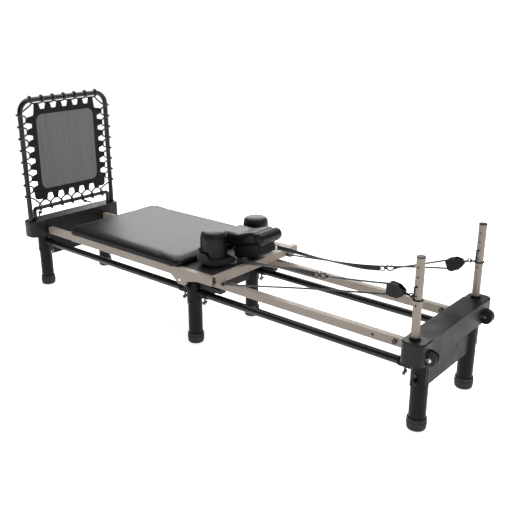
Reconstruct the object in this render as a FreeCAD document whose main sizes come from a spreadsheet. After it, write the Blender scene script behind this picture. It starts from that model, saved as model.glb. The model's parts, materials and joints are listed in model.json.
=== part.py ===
import FreeCAD, Part
import math
import os

from FreeCAD import Placement, Rotation, Vector

# A pilates reformer: two end beams and a middle stand on six legs, two rails, a padded
# carriage on rollers, a rebounder at the left end and two rope risers at the right end.
# +X runs from the rebounder to the risers, +Z is up, and the feet stand on Z = 0.

os.makedirs("parts", exist_ok=True)
doc = FreeCAD.newDocument("PilatesReformer")

SIZES = {
    # Stands
    "left_stand": -1130, "mid_stand": 0, "right_stand": 1110,
    "leg_spread": 196, "leg_diameter": 63.5, "leg_wall": 2.5, "leg_top": 286,
    "foot_diameter": 76, "foot_height": 48, "foot_edge": 10,
        # Beams
    "beam_width": 90, "beam_depth": 84, "beam_bottom": 286, "beam_wall": 3,
    "seam": 215, "beam_reach": 290, "cap_corner": 28, "cap_edge": 5,
    # Side tubes and rails
    "tube_diameter": 32, "tube_wall": 2, "tube_level": 244,
    "rail_spread": 181, "rail_width": 26, "rail_depth": 34, "rail_bottom": 292, "rail_wall": 2,
    # Risers
    "riser_x": 1102, "riser_spread": 244, "riser_diameter": 30, "riser_wall": 2,
    "riser_top": 664, "riser_plug": 4, "pin_hole": 7, "top_hole": 632, "hole_pitch": 34,
    "collar_diameter": 40, "collar_height": 8,
    # Transport wheels
    "wheel_x": 1160, "wheel_spread": 237, "wheel_level": 308, "wheel_radius": 27,
    "wheel_width": 20, "wheel_lug": 28, "lug_thick": 9, "wheel_axle": 5,
    # Rebounder
    "post_diameter": 25.4, "post_wall": 2, "post_spread": 268, "post_top": 990,
    "post_corner": 65, "post_depth": 62, "peg_spread": 241, "peg_diameter": 20,
    "peg_depth": 42, "socket_play": 0.05, "cross_level": 430,
    "mat_half": 180, "mat_low": 523, "mat_high": 914, "mat_corner": 38, "mat_thick": 2, "hem_width": 25, "hem_thick": 4,
    "tab_width": 26, "tab_length": 24, "tab_thick": 3, "tab_to_cord": 28.5, "bungee_diameter": 8,
    # Carriage
    "carriage_rear": -768, "carriage_front": 209, "carriage_half": 279,
    "side_bar_width": 25, "side_bar_depth": 38, "side_bar_low": 336,
    "front_bar_low": 350, "front_bar_high": 384, "deck_thick": 6, "bar_wall": 2,
    "roller_radius": 18, "roller_width": 22, "flange_radius": 21, "flange_width": 3,
    "roller_front": 32, "roller_rear": -640, "axle_diameter": 8, "play": 0.3,
    "pad_rear": -785, "pad_front": -5, "pad_half": 287, "pad_thick": 36, "pad_corner": 45,
    "rest_x": 70, "rest_y": 142, "rest_radius": 61, "rest_low": 382, "rest_high": 530,
    "rest_post": 10, "loop_width": 26, "loop_thick": 3,
    "head_x": 106, "head_z": 437, "head_length": 152, "head_half": 74, "head_tilt": 16,
    "head_thick": 53.5, "bolster_radius": 27, "bolster_x": 166, "bolster_z": 21,
    "shell_half": 62, "shell_depth": 50,
    # Ropes
    "rope_diameter": 7, "strap_diameter": 9, "groove": 19, "sheave_radius": 23,
    "sheave_width": 15,
}

sheet = doc.addObject("Spreadsheet::Sheet", "Sizes")
for row, (alias, number) in enumerate(SIZES.items(), start=1):
    sheet.set("A%d" % row, alias)
    sheet.set("B%d" % row, str(number))
    sheet.setAlias("B%d" % row, alias)
doc.recompute()

X = Vector(1, 0, 0)
Y = Vector(0, 1, 0)
Z = Vector(0, 0, 1)
TURN = {"x": Rotation(Y, 90), "y": Rotation(X, -90), "z": Rotation()}
SIDES = {"near": -1, "far": 1}
subparts = []


def size(alias):
    """The number in a cell of the sheet."""
    return float(sheet.get(alias))


def expression(text):
    """Cell names in text become references to the sheet."""
    words = text.replace("(", " ( ").replace(")", " ) ").split()
    return "".join("Sizes." + word if word in SIZES else word for word in words)


def bind(piece, **cells):
    for name, text in cells.items():
        piece.setExpression(name, expression(text))


def place(piece, at, rotation=Rotation()):
    piece.Placement = Placement(Vector(*at), rotation)
    return piece


def keep(piece, label):
    """Names a finished sub-part."""
    piece.Label = label
    subparts.append(piece)
    return piece


def box(length, width, height, at):
    """A block whose low corner is at a point."""
    piece = doc.addObject("Part::Box", "Block")
    bind(piece, Length=length, Width=width, Height=height)
    return place(piece, at)


def rod(radius, length, at, axis="z"):
    """A cylinder from a point along an axis."""
    piece = doc.addObject("Part::Cylinder", "Rod")
    bind(piece, Radius=radius, Height=length)
    return place(piece, at, TURN[axis])


def cone(low, high, length, at, axis="z"):
    piece = doc.addObject("Part::Cone", "Taper")
    bind(piece, Radius1=low, Radius2=high, Height=length)
    return place(piece, at, TURN[axis])


def ring(radius, section, at, axis="z"):
    """A round wire ring."""
    piece = doc.addObject("Part::Torus", "Ring")
    bind(piece, Radius1=radius, Radius2=section)
    return place(piece, at, TURN[axis])


def cut(base, tool):
    piece = doc.addObject("Part::Cut", "Cut")
    piece.Base = base
    piece.Tool = tool
    return piece


def join(*pieces):
    piece = doc.addObject("Part::MultiFuse", "Joined")
    piece.Shapes = list(pieces)
    return piece


def group(*pieces):
    """Separate solids kept in one sub-part."""
    piece = doc.addObject("Part::Compound", "Group")
    piece.Links = list(pieces)
    return piece


def shaped(shape, name="Form"):
    piece = doc.addObject("Part::Feature", name)
    piece.Shape = shape
    return piece


def rounded_wire(corners, radii):
    """A closed flat outline with an arc at each corner that has a radius."""
    edges = []
    count = len(corners)
    joints = []
    for i, (corner, radius) in enumerate(zip(corners, radii)):
        before = (corners[i - 1] - corner).normalize()
        after = (corners[(i + 1) % count] - corner).normalize()
        if radius == 0:
            joints.append((corner, None, corner))
            continue
        half = before.getAngle(after) / 2
        reach = radius / math.tan(half)
        middle = (before + after).normalize()
        centre = corner + middle * (radius / math.sin(half))
        joints.append((corner + before * reach, centre - middle * radius, corner + after * reach))
    for i, (start, through, end) in enumerate(joints):
        if through is not None:
            edges.append(Part.Arc(start, through, end).toShape())
        following = joints[(i + 1) % count][0]
        if (following - end).Length > 1e-6:
            edges.append(Part.LineSegment(end, following).toShape())
    return Part.Wire(edges)


def rounded_prism(corners, radii, along):
    """A closed outline with rounded corners, made solid along a vector."""
    return Part.Face(rounded_wire(corners, radii)).extrude(along)


def route(points, bends=None):
    """A path of straight runs joined by tangent arcs. A bend's radius is 0.45 of the
    shorter run over the tangent of half the turn, or the one that is given for its index."""
    points = [Vector(*point) for point in points]
    edges = []
    radii = []
    start = points[0]
    for i in range(1, len(points) - 1):
        back = points[i - 1] - points[i]
        ahead = points[i + 1] - points[i]
        half_turn = (math.pi - back.getAngle(ahead)) / 2
        radius = 0.45 * min(back.Length, ahead.Length) / math.tan(half_turn)
        if bends and i in bends:
            radius = bends[i]
        radii.append(radius)
        reach = radius * math.tan(half_turn)
        middle = (back.normalize() + ahead.normalize()).normalize()
        rise = radius / math.cos(half_turn) - radius
        first = points[i] + back * reach
        last = points[i] + ahead * reach
        if (first - start).Length > 1e-4:
            edges.append(Part.LineSegment(start, first).toShape())
        edges.append(Part.Arc(first, points[i] + middle * rise, last).toShape())
        start = last
    edges.append(Part.LineSegment(start, points[-1]).toShape())
    return Part.Wire(edges), radii


def tube(points, diameter, bore=0, bends=None, name=""):
    """A round tube or cord along a route, with its volume checked against its length."""
    path, radii = route(points, bends)
    start = Vector(*points[0])
    heading = Vector(*points[1]) - start
    circle = Part.Wire([Part.Circle(start, heading, diameter / 2).toShape()])
    solid = path.makePipeShell([circle], True, False, 2)
    area = math.pi * diameter ** 2 / 4
    if bore:
        inner = Part.Wire([Part.Circle(start, heading, bore / 2).toShape()])
        solid = solid.cut(path.makePipeShell([inner], True, False, 2))
        area -= math.pi * bore ** 2 / 4
    share = solid.Volume / (area * path.Length)
    if name:
        print("%s: length %.0f, volume share %.3f, least radius %.1f" % (
            name, path.Length, share, min(radii)))
    if abs(share - 1) > 0.02:
        raise ValueError("%s has a volume share of %.3f" % (name, share))
    return solid


def body_sketch(body, role, offset=0):
    """A sketch on one of a body's own origin planes."""
    sketch = body.newObject("Sketcher::SketchObject", "Sketch")
    plane = [item for item in body.Origin.OriginFeatures if item.Role == role][0]
    sketch.AttachmentSupport = [(plane, "")]
    sketch.MapMode = "FlatFace"
    sketch.AttachmentOffset = Placement(Vector(0, 0, offset), Rotation())
    return sketch


def sketch_rectangle(sketch, x0, y0, x1, y1):
    corners = [Vector(x0, y0, 0), Vector(x1, y0, 0), Vector(x1, y1, 0), Vector(x0, y1, 0)]
    for i in range(4):
        sketch.addGeometry(Part.LineSegment(corners[i], corners[(i + 1) % 4]), False)


# ---------------------------------------------------------------- stands and beams

STANDS = {"left": size("left_stand"), "mid": size("mid_stand"), "right": size("right_stand")}
BEAMS = {"left": size("left_stand"), "right": size("right_stand")}
LEG_RADIUS = size("leg_diameter") / 2
BEAM_HALF = size("beam_width") / 2
BEAM_TOP = size("beam_bottom") + size("beam_depth")
RAIL_TOP = size("rail_bottom") + size("rail_depth")
LEG_SIDE = size("leg_spread") - LEG_RADIUS


def beam(label, centre):
    """A rectangular tube across the machine, open at both ends, on a body with one pad."""
    body = doc.addObject("PartDesign::Body", "Beam")
    half = BEAM_HALF
    wall = size("beam_wall")
    low = size("beam_bottom")
    sketch = body_sketch(body, "XZ_Plane")
    sketch_rectangle(sketch, -half, low, half, BEAM_TOP)
    sketch_rectangle(sketch, -half + wall, low + wall, half - wall, BEAM_TOP - wall)
    pad = body.newObject("PartDesign::Pad", "Pad")
    pad.Profile = sketch
    pad.Midplane = True
    bind(pad, Length="2 * seam")
    place(body, (centre, 0, 0))
    return keep(body, label)


def beam_cap(centre, side):
    """A moulded cap on a beam's end, with round corners in plan and an arched face."""
    start = size("seam")
    reach = size("beam_reach")
    half = BEAM_HALF
    low = size("beam_bottom")
    arch = 4
    left = Vector(-half, start * side, low)
    right = Vector(half, start * side, low)
    corner = size("cap_corner")
    far_right = Vector(half, (reach - arch) * side, low)
    crown = Vector(0, reach * side, low)
    far_left = Vector(-half, (reach - arch) * side, low)
    plan = rounded_prism([left, right, far_right, crown, far_left],
                         [0, 0, corner, 60, corner], Z * size("beam_depth"))
    tops = [edge for edge in plan.Edges
            if abs(edge.BoundBox.ZMin - BEAM_TOP) < 1e-3 and edge.BoundBox.YLength + 1 > 0
            and abs(edge.CenterOfMass.y) > start + 1]
    shape = plan.makeFillet(size("cap_edge"), tops)
    if centre > 0:
        shape = wheel_mounting(shape, side, centre)
    else:
        shape = shape.cut(post_sockets(side, size("left_stand") + 4 - centre))
    return place(shaped(shape, "Cap"), (centre, 0, 0))


def post_sockets(side, x):
    """The two upright holes that the rebounder's post and peg stand in."""
    sockets = []
    for spread, diameter, depth in (("post_spread", "post_diameter", "post_depth"),
                                    ("peg_spread", "peg_diameter", "peg_depth")):
        radius = size(diameter) / 2 + size("socket_play")
        at = Vector(x, side * size(spread), BEAM_TOP)
        sockets.append(Part.makeCylinder(radius, size(depth), at, -Z))
    return sockets[0].fuse(sockets[1])


def wheel_mounting(shape, side, centre):
    """A round lug and a pocket for the transport wheel at the cap's outer lower corner."""
    axis_at = Vector(size("wheel_x") - centre, side * (start_of_wheel() - 2), size("wheel_level"))
    lug = Part.makeCylinder(size("wheel_lug"), size("lug_thick"), axis_at, Y * -side)
    room = Part.makeCylinder(size("wheel_radius") + 3, size("wheel_width") + 5, axis_at, Y * side)
    bore = Part.makeCylinder(size("wheel_axle"), 2 * size("lug_thick"), axis_at, Y * -side)
    return shape.fuse(lug).cut(room).cut(bore).removeSplitter()


def start_of_wheel():
    """How far out a transport wheel's inner face is."""
    return size("wheel_spread") - size("wheel_width") / 2


def leg(x, side):
    """A round leg tube from the top of its foot to its top plate."""
    y = side * size("leg_spread")
    low = size("foot_height")
    outer = rod("leg_diameter / 2", "leg_top - foot_height", (x, y, low))
    inner = rod("leg_diameter / 2 - leg_wall", "leg_top - foot_height - leg_wall", (x, y, low))
    return cut(outer, inner)


def foot(x, side):
    """A ribbed rubber foot with a rounded lower edge and a stepped upper ring."""
    radius = size("foot_diameter") / 2
    height = size("foot_height")
    edge = size("foot_edge")
    profile = [Vector(0, 0, 0), Vector(radius - 3, 0, 0), Vector(radius, 0, height - 16),
               Vector(radius - 2, 0, height - 14), Vector(radius - 2, 0, height), Vector(0, 0, height)]
    wire = rounded_wire(profile, [0, edge, 2, 0, 1.5, 0])
    shape = Part.Face(wire).revolve(Vector(), Z, 360)
    return place(shaped(shape, "Foot"), (x, side * size("leg_spread"), 0))


def side_tube(x0, x1, side):
    """A round tube between two stands, its ends shaped to the legs."""
    y = side * size("leg_spread")
    z = size("tube_level")
    length = x1 - x0
    outer = Part.makeCylinder(size("tube_diameter") / 2, length, Vector(x0, y, z), X)
    inner = Part.makeCylinder(size("tube_diameter") / 2 - size("tube_wall"), length, Vector(x0, y, z), X)
    shape = outer.cut(inner)
    for x in (x0, x1):
        shape = shape.cut(Part.makeCylinder(LEG_RADIUS, 400, Vector(x, y, 0), Z))
    return shaped(shape, "SideTube")


def cross_plate(label, x, low, high, length):
    """A flat member between a pair of legs, its ends shaped to them."""
    reach = size("leg_spread")
    plate = Part.makeBox(length, 2 * reach, high - low, Vector(x - length / 2, -reach, low))
    for side in (-1, 1):
        plate = plate.cut(Part.makeCylinder(LEG_RADIUS, 400, Vector(x, side * reach, 0), Z))
    return keep(shaped(plate, "CrossMember"), label)


for name, x in BEAMS.items():
    beam("beam_" + name, x)
    keep(group(beam_cap(x, -1), beam_cap(x, 1)), "beam_caps_" + name)

for name, x in STANDS.items():
    keep(group(leg(x, -1), leg(x, 1)), "legs_" + name)

keep(group(*[foot(x, side) for x in STANDS.values() for side in (-1, 1)]), "feet")
keep(group(*[side_tube(STANDS["left"], 0, side) for side in (-1, 1)]), "side_tubes_left")
keep(group(*[side_tube(0, STANDS["right"], side) for side in (-1, 1)]), "side_tubes_right")
cross_plate("cross_member_left", STANDS["left"], 165, size("leg_top"), 30)
cross_plate("cross_member_mid", 0, 200, size("leg_top"), 30)
cross_plate("cross_member_right", STANDS["right"], 165, size("leg_top"), 30)


# ---------------------------------------------------------------- rails

RAIL_START = STANDS["left"] + BEAM_HALF
RAIL_END = STANDS["right"] - BEAM_HALF
STOP_X = 1000


def rail(label, side):
    """A rectangular rail tube between the beams, with a bore for its stop bolt."""
    y = side * size("rail_spread")
    z = size("rail_bottom")
    wall = size("rail_wall")
    width = size("rail_width")
    outer = Part.makeBox(RAIL_END - RAIL_START, width, size("rail_depth"),
                         Vector(RAIL_START, y - width / 2, z))
    inner = Part.makeBox(RAIL_END - RAIL_START, width - 2 * wall, size("rail_depth") - 2 * wall,
                         Vector(RAIL_START, y - width / 2 + wall, z + wall))
    shape = outer.cut(inner)
    middle = z + size("rail_depth") / 2
    for x, radius in ((908, 5), (STOP_X, 4)):
        shape = shape.cut(Part.makeCylinder(radius, width + 2, Vector(x, y - width / 2 - 1, middle), Y))
    return keep(shaped(shape, "Rail"), label)


for name, side in SIDES.items():
    rail("rail_" + name, side)


def saddle(side):
    """A block on the middle leg that carries the rail and splices its two lengths."""
    y = side * size("rail_spread")
    half = size("rail_width") / 2
    block = box("126", "34", "18", (28 + 4, y - 17, 268))
    plate = box("rail_width + 100", "rail_width + 14", "rail_bottom - leg_top",
                (-46, y - half - 7, size("leg_top")))
    return [cut(block, rod("leg_diameter / 2", "400", (0, side * size("leg_spread"), 0))), plate]


keep(group(*(saddle(-1) + saddle(1))), "rail_saddles")


def stop_bolt(side):
    """A bolt through the rail with a head outside and a nut inside: the carriage's stop."""
    inside = side * (size("rail_spread") - size("rail_width") / 2)
    outside = side * (size("rail_spread") + size("rail_width") / 2)
    z = size("rail_bottom") + size("rail_depth") / 2
    low = min(inside, outside)
    shank = rod("4", "rail_width", (STOP_X, low, z), "y")
    head = rod("9", "7", (STOP_X, low - 7, z), "y")
    nut = rod("9", "7", (STOP_X, low + size("rail_width"), z), "y")
    return join(shank, head, nut)


def rail_clamp(side):
    """The bent plate that bolts a rail's end to the beam."""
    inner = size("rail_spread") - size("rail_width") / 2
    y = -inner if side < 0 else inner - 3
    return box("45", "3", "26", (RAIL_END - 45, y, 296))


# ---------------------------------------------------------------- stand hardware

def stand_plate(x, side, low, high, width):
    """A bolted plate on the outer side of a leg, curved to it, that clamps the side tube."""
    y = side * size("leg_spread")
    outer = Part.makeCylinder(LEG_RADIUS + 3, high - low, Vector(x, y, low), Z)
    inner = Part.makeCylinder(LEG_RADIUS, high - low, Vector(x, y, low), Z)
    band = outer.cut(inner)
    tube_room = Part.makeCylinder(size("tube_diameter") / 2, 400, Vector(x - 200, y, size("tube_level")), X)
    rest = Part.makeBox(width, 200, high - low, Vector(x - width / 2, y - 100, low))
    inner_y = y if side < 0 else y - LEG_RADIUS - 20
    inside = Part.makeBox(400, LEG_RADIUS + 20, 400, Vector(x - 200, inner_y, 0))
    return shaped(band.common(rest).cut(tube_room).cut(inside), "StandPlate")


def tube_sleeve(x, side):
    """A collar round the end of a side tube, where a pin locks it to the stand."""
    at = Vector(x, side * size("leg_spread"), size("tube_level"))
    radius = size("tube_diameter") / 2
    outer = Part.makeCylinder(radius + 3, 46, at, X)
    return shaped(outer.cut(Part.makeCylinder(radius, 46, at, X)), "Sleeve")


def lock_pin(x, side):
    """A pin through a sleeve's lower side, with a winged head."""
    y = side * size("leg_spread")
    low = size("tube_level") - size("tube_diameter") / 2 - 3
    shank = Part.makeCylinder(4, 14, Vector(x, y, low), -Z)
    wing = Part.makeBox(6, 26, 12, Vector(x - 3, y - 13, low - 26))
    return shaped(shank.fuse(wing), "LockPin")


PLATE_TOPS = {"left": 284, "mid": 292, "right": 284}
plates = [stand_plate(x, side, 190, PLATE_TOPS[name], 60) for name, x in STANDS.items() for side in (-1, 1)]
SLEEVES = [STANDS["left"] + 38, STANDS["mid"] - 84, STANDS["mid"] + 38, STANDS["right"] - 84]
plates += [tube_sleeve(x, side) for x in SLEEVES for side in (-1, 1)]
keep(group(rail_clamp(-1), rail_clamp(1), *plates), "stand_brackets")
KNOB_SEAT = size("leg_spread") + LEG_RADIUS + 3


def stand_bolt(x, z, side):
    """A hexagonal head on the outside of a stand plate."""
    y = side * KNOB_SEAT
    corners = [Vector(6 * math.cos(a), 0, 6 * math.sin(a))
               for a in [math.radians(60 * i) for i in range(6)]]
    head = Part.Face(Part.makePolygon(corners + [corners[0]])).extrude(Y * 6 * side)
    head.translate(Vector(x, y - side * 1.5, z))
    plate_face = Part.makeCylinder(LEG_RADIUS + 3, 40, Vector(x, side * size("leg_spread"), z - 20), Z)
    return shaped(head.cut(plate_face), "BoltHead")


bolts = [stand_bolt(x + dx, z, side) for side in (-1, 1)
         for x, dx, z in ((STANDS["left"], 0, 205), (STANDS["mid"], 0, 200), (STANDS["right"], 0, 225))]
bolts += [lock_pin(x + 23, side) for x in SLEEVES for side in (-1, 1)]
keep(group(stop_bolt(-1), stop_bolt(1), *bolts), "frame_bolts")


def clamp_knob(label, x, z, side):
    """A star knob whose stem turns in the stand plate."""
    y = side * KNOB_SEAT
    hub = Part.makeCylinder(7, 8, Vector(0, 0, 0), Y * side)
    lobes = Part.makeCylinder(13, 12, Vector(0, 8 * side, 0), Y * side)
    for i in range(6):
        angle = math.radians(60 * i)
        centre = Vector(16 * math.cos(angle), 7 * side, 16 * math.sin(angle))
        lobes = lobes.cut(Part.makeCylinder(5, 14, centre, Y * side))
    shape = hub.fuse(lobes)
    return keep(place(shaped(shape, "Knob"), (x, y + side * 0.3, z)), label)


for name, side in SIDES.items():
    clamp_knob("knob_mid_" + name, STANDS["mid"], 278, side)
    clamp_knob("knob_right_" + name, STANDS["right"], 200, side)


# ---------------------------------------------------------------- risers

def riser(side):
    """A riser post with five pin holes through it."""
    y = side * size("riser_spread")
    post = cut(rod("riser_diameter / 2", "riser_top - beam_bottom - beam_depth",
                   (size("riser_x"), y, BEAM_TOP)),
               rod("riser_diameter / 2 - riser_wall", "riser_top - beam_bottom - beam_depth",
                   (size("riser_x"), y, BEAM_TOP)))
    for i in range(5):
        z = size("top_hole") - i * size("hole_pitch")
        post = cut(post, rod("pin_hole / 2", "2 * riser_diameter",
                             (size("riser_x"), y - size("riser_diameter"), z), "y"))
    return post


def riser_plug(side):
    y = side * size("riser_spread")
    return rod("riser_diameter / 2 + 0.5", "riser_plug", (size("riser_x"), y, size("riser_top")))


def riser_collar(side):
    at = (size("riser_x"), side * size("riser_spread"), BEAM_TOP)
    outer = rod("collar_diameter / 2", "collar_height", at)
    return cut(outer, rod("riser_diameter / 2", "collar_height", at))


# Where each side's rope, strap, sheave and snap hook run, from the carriage to the riser.
ROPES = {
    "near": {
        "anchor": (218.8, -240, 343),
        "sheave": (997, -220, 517),
        "ring": (1068, -226, 515),
        "low": [(393, -236, 379), (640, -231, 432)],
        "hook": [(692, -171, 475), (618, -159, 462)],
        "strap": [(158, -84, 393), (210, -92, 399), (262, -100, 408), (340, -113, 421), (440, -130, 438),
                  (535, -146, 454), (618, -159, 462)],
        "high": (850, -200, 506),
    },
    "far": {
        "anchor": (218.8, 200, 358),
        "sheave": (1004, 230, 487),
        "ring": (1068, 234.4, 515),
        "low": [(389, 207, 372), (560, 214, 386), (700, 219, 408), (850, 225, 440)],
        "hook": [(775, 205, 424), (700, 197, 405)],
        "strap": [(206, 141, 404), (250, 147, 402), (330, 157, 397), (440, 169, 392), (560, 183, 392),
                  (640, 190, 396), (700, 197, 405)],
        "high": (885, 219, 463),
    },
}

CLIP_Z = ROPES["near"]["ring"][2]
PIN_Z = size("top_hole") - 2 * size("hole_pitch")
WIRE = 2.5


def riser_clip(side):
    """A wire clip: a ring round the post, a strut up to a pin in a hole, and an eye."""
    y = side * size("riser_spread")
    x = size("riser_x")
    r = size("riser_diameter") / 2 + WIRE
    loop = Part.makeTorus(r, WIRE, Vector(x, y, CLIP_Z), Z)
    top = Vector(x - 6, y - r - WIRE, PIN_Z)
    strut_low = Vector(x - r * 0.5, y - r * 0.87, CLIP_Z)
    strut = Part.makeCylinder(WIRE, (top - strut_low).Length, strut_low, top - strut_low)
    pin = Part.makeCylinder(WIRE, r + 4, Vector(x, y - r - WIRE, PIN_Z), Y)
    bridge = Part.makeCylinder(WIRE, 6, top, X)
    knuckle = Part.makeSphere(WIRE, top)
    post = Part.makeCylinder(size("riser_diameter") / 2, 300, Vector(x, y, BEAM_TOP), Z)
    ring_at = Vector(*ROPES["near" if side < 0 else "far"]["ring"])
    eye = Part.makeTorus(8, 2, ring_at + Vector(9.3, side * 0.8, 0), Z)
    outside = loop.fuse([strut, bridge, knuckle, eye]).cut(post)
    return shaped(outside.fuse(pin), "Clip")


keep(group(riser(-1), riser(1)), "riser_posts")
keep(group(riser_plug(-1), riser_plug(1), riser_collar(-1), riser_collar(1)), "riser_fittings")
keep(group(riser_clip(-1), riser_clip(1)), "riser_clips")


# ---------------------------------------------------------------- transport wheels

def transport_wheel(label, side):
    """A rubber wheel with rounded edges on the axle at the beam's outer corner."""
    at = Vector(size("wheel_x"), side * size("wheel_spread") - size("wheel_width") / 2, size("wheel_level"))
    tyre = Part.makeCylinder(size("wheel_radius"), size("wheel_width"), at, Y)
    tyre = tyre.makeFillet(4, [e for e in tyre.Edges if e.Curve.TypeId == "Part::GeomCircle"])
    bore = Part.makeCylinder(size("wheel_axle") + 0.05, size("wheel_width"), at, Y)
    return keep(shaped(tyre.cut(bore), "Wheel"), label)


def wheel_axle(side):
    """The wheel's axle bolt from the lug, with a bright domed head outside."""
    inner = start_of_wheel() - 2 - size("lug_thick")
    outer = size("wheel_spread") + size("wheel_width") / 2 + 0.4
    x = size("wheel_x")
    z = size("wheel_level")
    shank = Part.makeCylinder(size("wheel_axle"), outer - inner, Vector(x, side * inner, z), Y * side)
    head = Part.makeCone(10, 7, 2, Vector(x, side * outer, z), Y * side)
    return shaped(shank.fuse(head), "WheelAxle")


for name, side in SIDES.items():
    transport_wheel("transport_wheel_" + name, side)
keep(group(wheel_axle(-1), wheel_axle(1)), "transport_axles")


# ---------------------------------------------------------------- rebounder

REB_X = STANDS["left"] + 4
POST_R = size("post_diameter") / 2


def in_plane(points):
    return [(REB_X, y, z) for y, z in points]


def rebounder_loop():
    spread = size("post_spread")
    top = size("post_top")
    foot_z = BEAM_TOP - size("post_depth") + 2
    return tube(in_plane([(-spread, foot_z), (-spread, top), (spread, top), (spread, foot_z)]),
                size("post_diameter"), size("post_diameter") - 2 * size("post_wall"),
                bends={1: size("post_corner"), 2: size("post_corner")})


def cross_frame():
    """The lower cross tube with its two short pegs, that stand in the beam."""
    spread = size("peg_spread")
    cross_z = size("cross_level")
    corner = 14
    foot_z = BEAM_TOP - size("peg_depth") + 2
    return tube(in_plane([(-spread, foot_z), (-spread, cross_z), (spread, cross_z), (spread, foot_z)]),
                size("peg_diameter"), size("peg_diameter") - 4, bends={1: corner, 2: corner})


def plane_plate(half, low, high, radius, thick):
    """A plate with rounded corners in the rebounder's plane."""
    corners = [Vector(REB_X - thick / 2, y, z)
               for y, z in ((-half, low), (half, low), (half, high), (-half, high))]
    return rounded_prism(corners, [radius] * 4, X * thick)


keep(shaped(rebounder_loop(), "Loop"), "rebounder_frame")
keep(shaped(cross_frame(), "CrossFrame"), "rebounder_cross_tube")
hem = size("hem_width")
mat_low = size("mat_low")
mat_high = size("mat_high")
mat = plane_plate(size("mat_half"), mat_low, mat_high, size("mat_corner"), size("mat_thick"))
border = plane_plate(size("mat_half") + hem, mat_low - hem, mat_high + hem,
                     size("mat_corner") + hem, size("hem_thick"))
window = plane_plate(size("mat_half"), mat_low, mat_high, size("mat_corner"), size("hem_thick"))
keep(shaped(mat, "Mat"), "rebounder_mat")

TOP_TABS = [-170 + 68 * i for i in range(6)]
SIDE_TABS = [530 + 60 * i for i in range(7)]
HEM_HALF = size("mat_half") + hem
HEM_TOP = mat_high + hem
HEM_LOW = mat_low - hem


def tab(y, z, along_y, outward):
    """A webbing tab sewn to the hem, that holds the bungee at its outer end."""
    width = size("tab_width")
    length = size("tab_length")
    thick = size("tab_thick")
    low = -length if outward < 0 else 0
    if along_y:
        plate = Part.makeBox(thick, width, length, Vector(REB_X - thick / 2, y - width / 2, z + low))
    else:
        plate = Part.makeBox(thick, length, width, Vector(REB_X - thick / 2, y + low, z - width / 2))
    return shaped(plate, "Tab")


tabs = [tab(y, HEM_TOP, True, 1) for y in TOP_TABS] + [tab(y, HEM_LOW, True, -1) for y in TOP_TABS]
tabs += [tab(side * HEM_HALF, z, False, side) for side in (-1, 1) for z in SIDE_TABS]
keep(group(shaped(border.cut(window), "Hem"), *tabs), "rebounder_hem")


TAB_HOLD = 7    # the cord lies straight for this far either side of a tab's middle


def lacing(tab_points, wrap_points, reach, outward_y):
    """Bungee that runs from tab to tab and goes once round the frame between them."""
    cord = []
    for i, (wy, wz) in enumerate(wrap_points):
        sign = 1 if outward_y >= 0 else -1
        cord += [(REB_X + reach, wy - sign * 14, wz - 3), (REB_X + reach, wy + sign * reach, wz - 1),
                 (REB_X - reach, wy + sign * reach, wz + 1), (REB_X - reach, wy - sign * 14, wz + 3)]
        if i < len(tab_points):
            tab_y, tab_z = tab_points[i]
            cord += [(REB_X, tab_y, tab_z - TAB_HOLD), (REB_X, tab_y, tab_z + TAB_HOLD)]
    return cord


def side_bungee(side):
    """Bungee up one post, whose two ends lead across the corners to the bars' lacing."""
    reach = POST_R + size("bungee_diameter") / 2 + 0.3
    tab_y = side * (HEM_HALF + size("tab_to_cord"))
    wraps = [(side * size("post_spread"), 500 + 60 * i) for i in range(8)]
    points = lacing([(tab_y, z) for z in SIDE_TABS], wraps, reach, side)
    bends = {i + 1: reach for i in range(len(points)) if i % 6 in (1, 2)}
    meeting_y = side * 208
    meeting_x = REB_X - side * reach
    points = [(meeting_x, meeting_y, size("cross_level") + 19)] + points
    points.append((meeting_x, meeting_y, size("post_top") - 19))
    return shaped(tube(points, size("bungee_diameter"), bends=bends, name="side bungee"), "Bungee")


def bar_bungee(bar_z, tab_z, up, bar_radius, name):
    """Bungee along the top bar or the lower cross tube."""
    reach = bar_radius + size("bungee_diameter") / 2 + 0.3
    points = []
    for i in range(7):
        y = -204 + 68 * i
        points += [(REB_X + reach, y - 3, bar_z - up * 14), (REB_X + reach, y - 1, bar_z + up * reach),
                   (REB_X - reach, y + 1, bar_z + up * reach), (REB_X - reach, y + 3, bar_z - up * 14)]
        if i < 6:
            points += [(REB_X, TOP_TABS[i] - TAB_HOLD, tab_z), (REB_X, TOP_TABS[i] + TAB_HOLD, tab_z)]
    bends = {i: reach for i in range(len(points)) if i % 6 in (1, 2)}
    return shaped(tube(points, size("bungee_diameter"), bends=bends, name=name), "Bungee")


tab_reach = size("tab_to_cord")
top_bungee = bar_bungee(size("post_top"), HEM_TOP + tab_reach, 1, POST_R, "top bungee")
low_bungee = bar_bungee(size("cross_level"), HEM_LOW - tab_reach, -1, size("peg_diameter") / 2, "low bungee")
keep(group(side_bungee(-1), side_bungee(1), top_bungee, low_bungee), "rebounder_bungee")


# ---------------------------------------------------------------- carriage

REAR = size("carriage_rear")
FRONT = size("carriage_front")
HALF = size("carriage_half")
BAR_TOP = size("side_bar_low") + size("side_bar_depth")
INNER = HALF - size("side_bar_width")


def hollow_bar(length, width, height, at, along):
    """A rectangular tube. Its low corner and its direction are given."""
    outer = box(length, width, height, at)
    wall = size("bar_wall")
    if along == "x":
        inner = box(length, width + " - 2 * bar_wall", height + " - 2 * bar_wall",
                    (at[0], at[1] + wall, at[2] + wall))
    else:
        inner = box(length + " - 2 * bar_wall", width, height + " - 2 * bar_wall",
                    (at[0] + wall, at[1], at[2] + wall))
    return cut(outer, inner)


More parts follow.
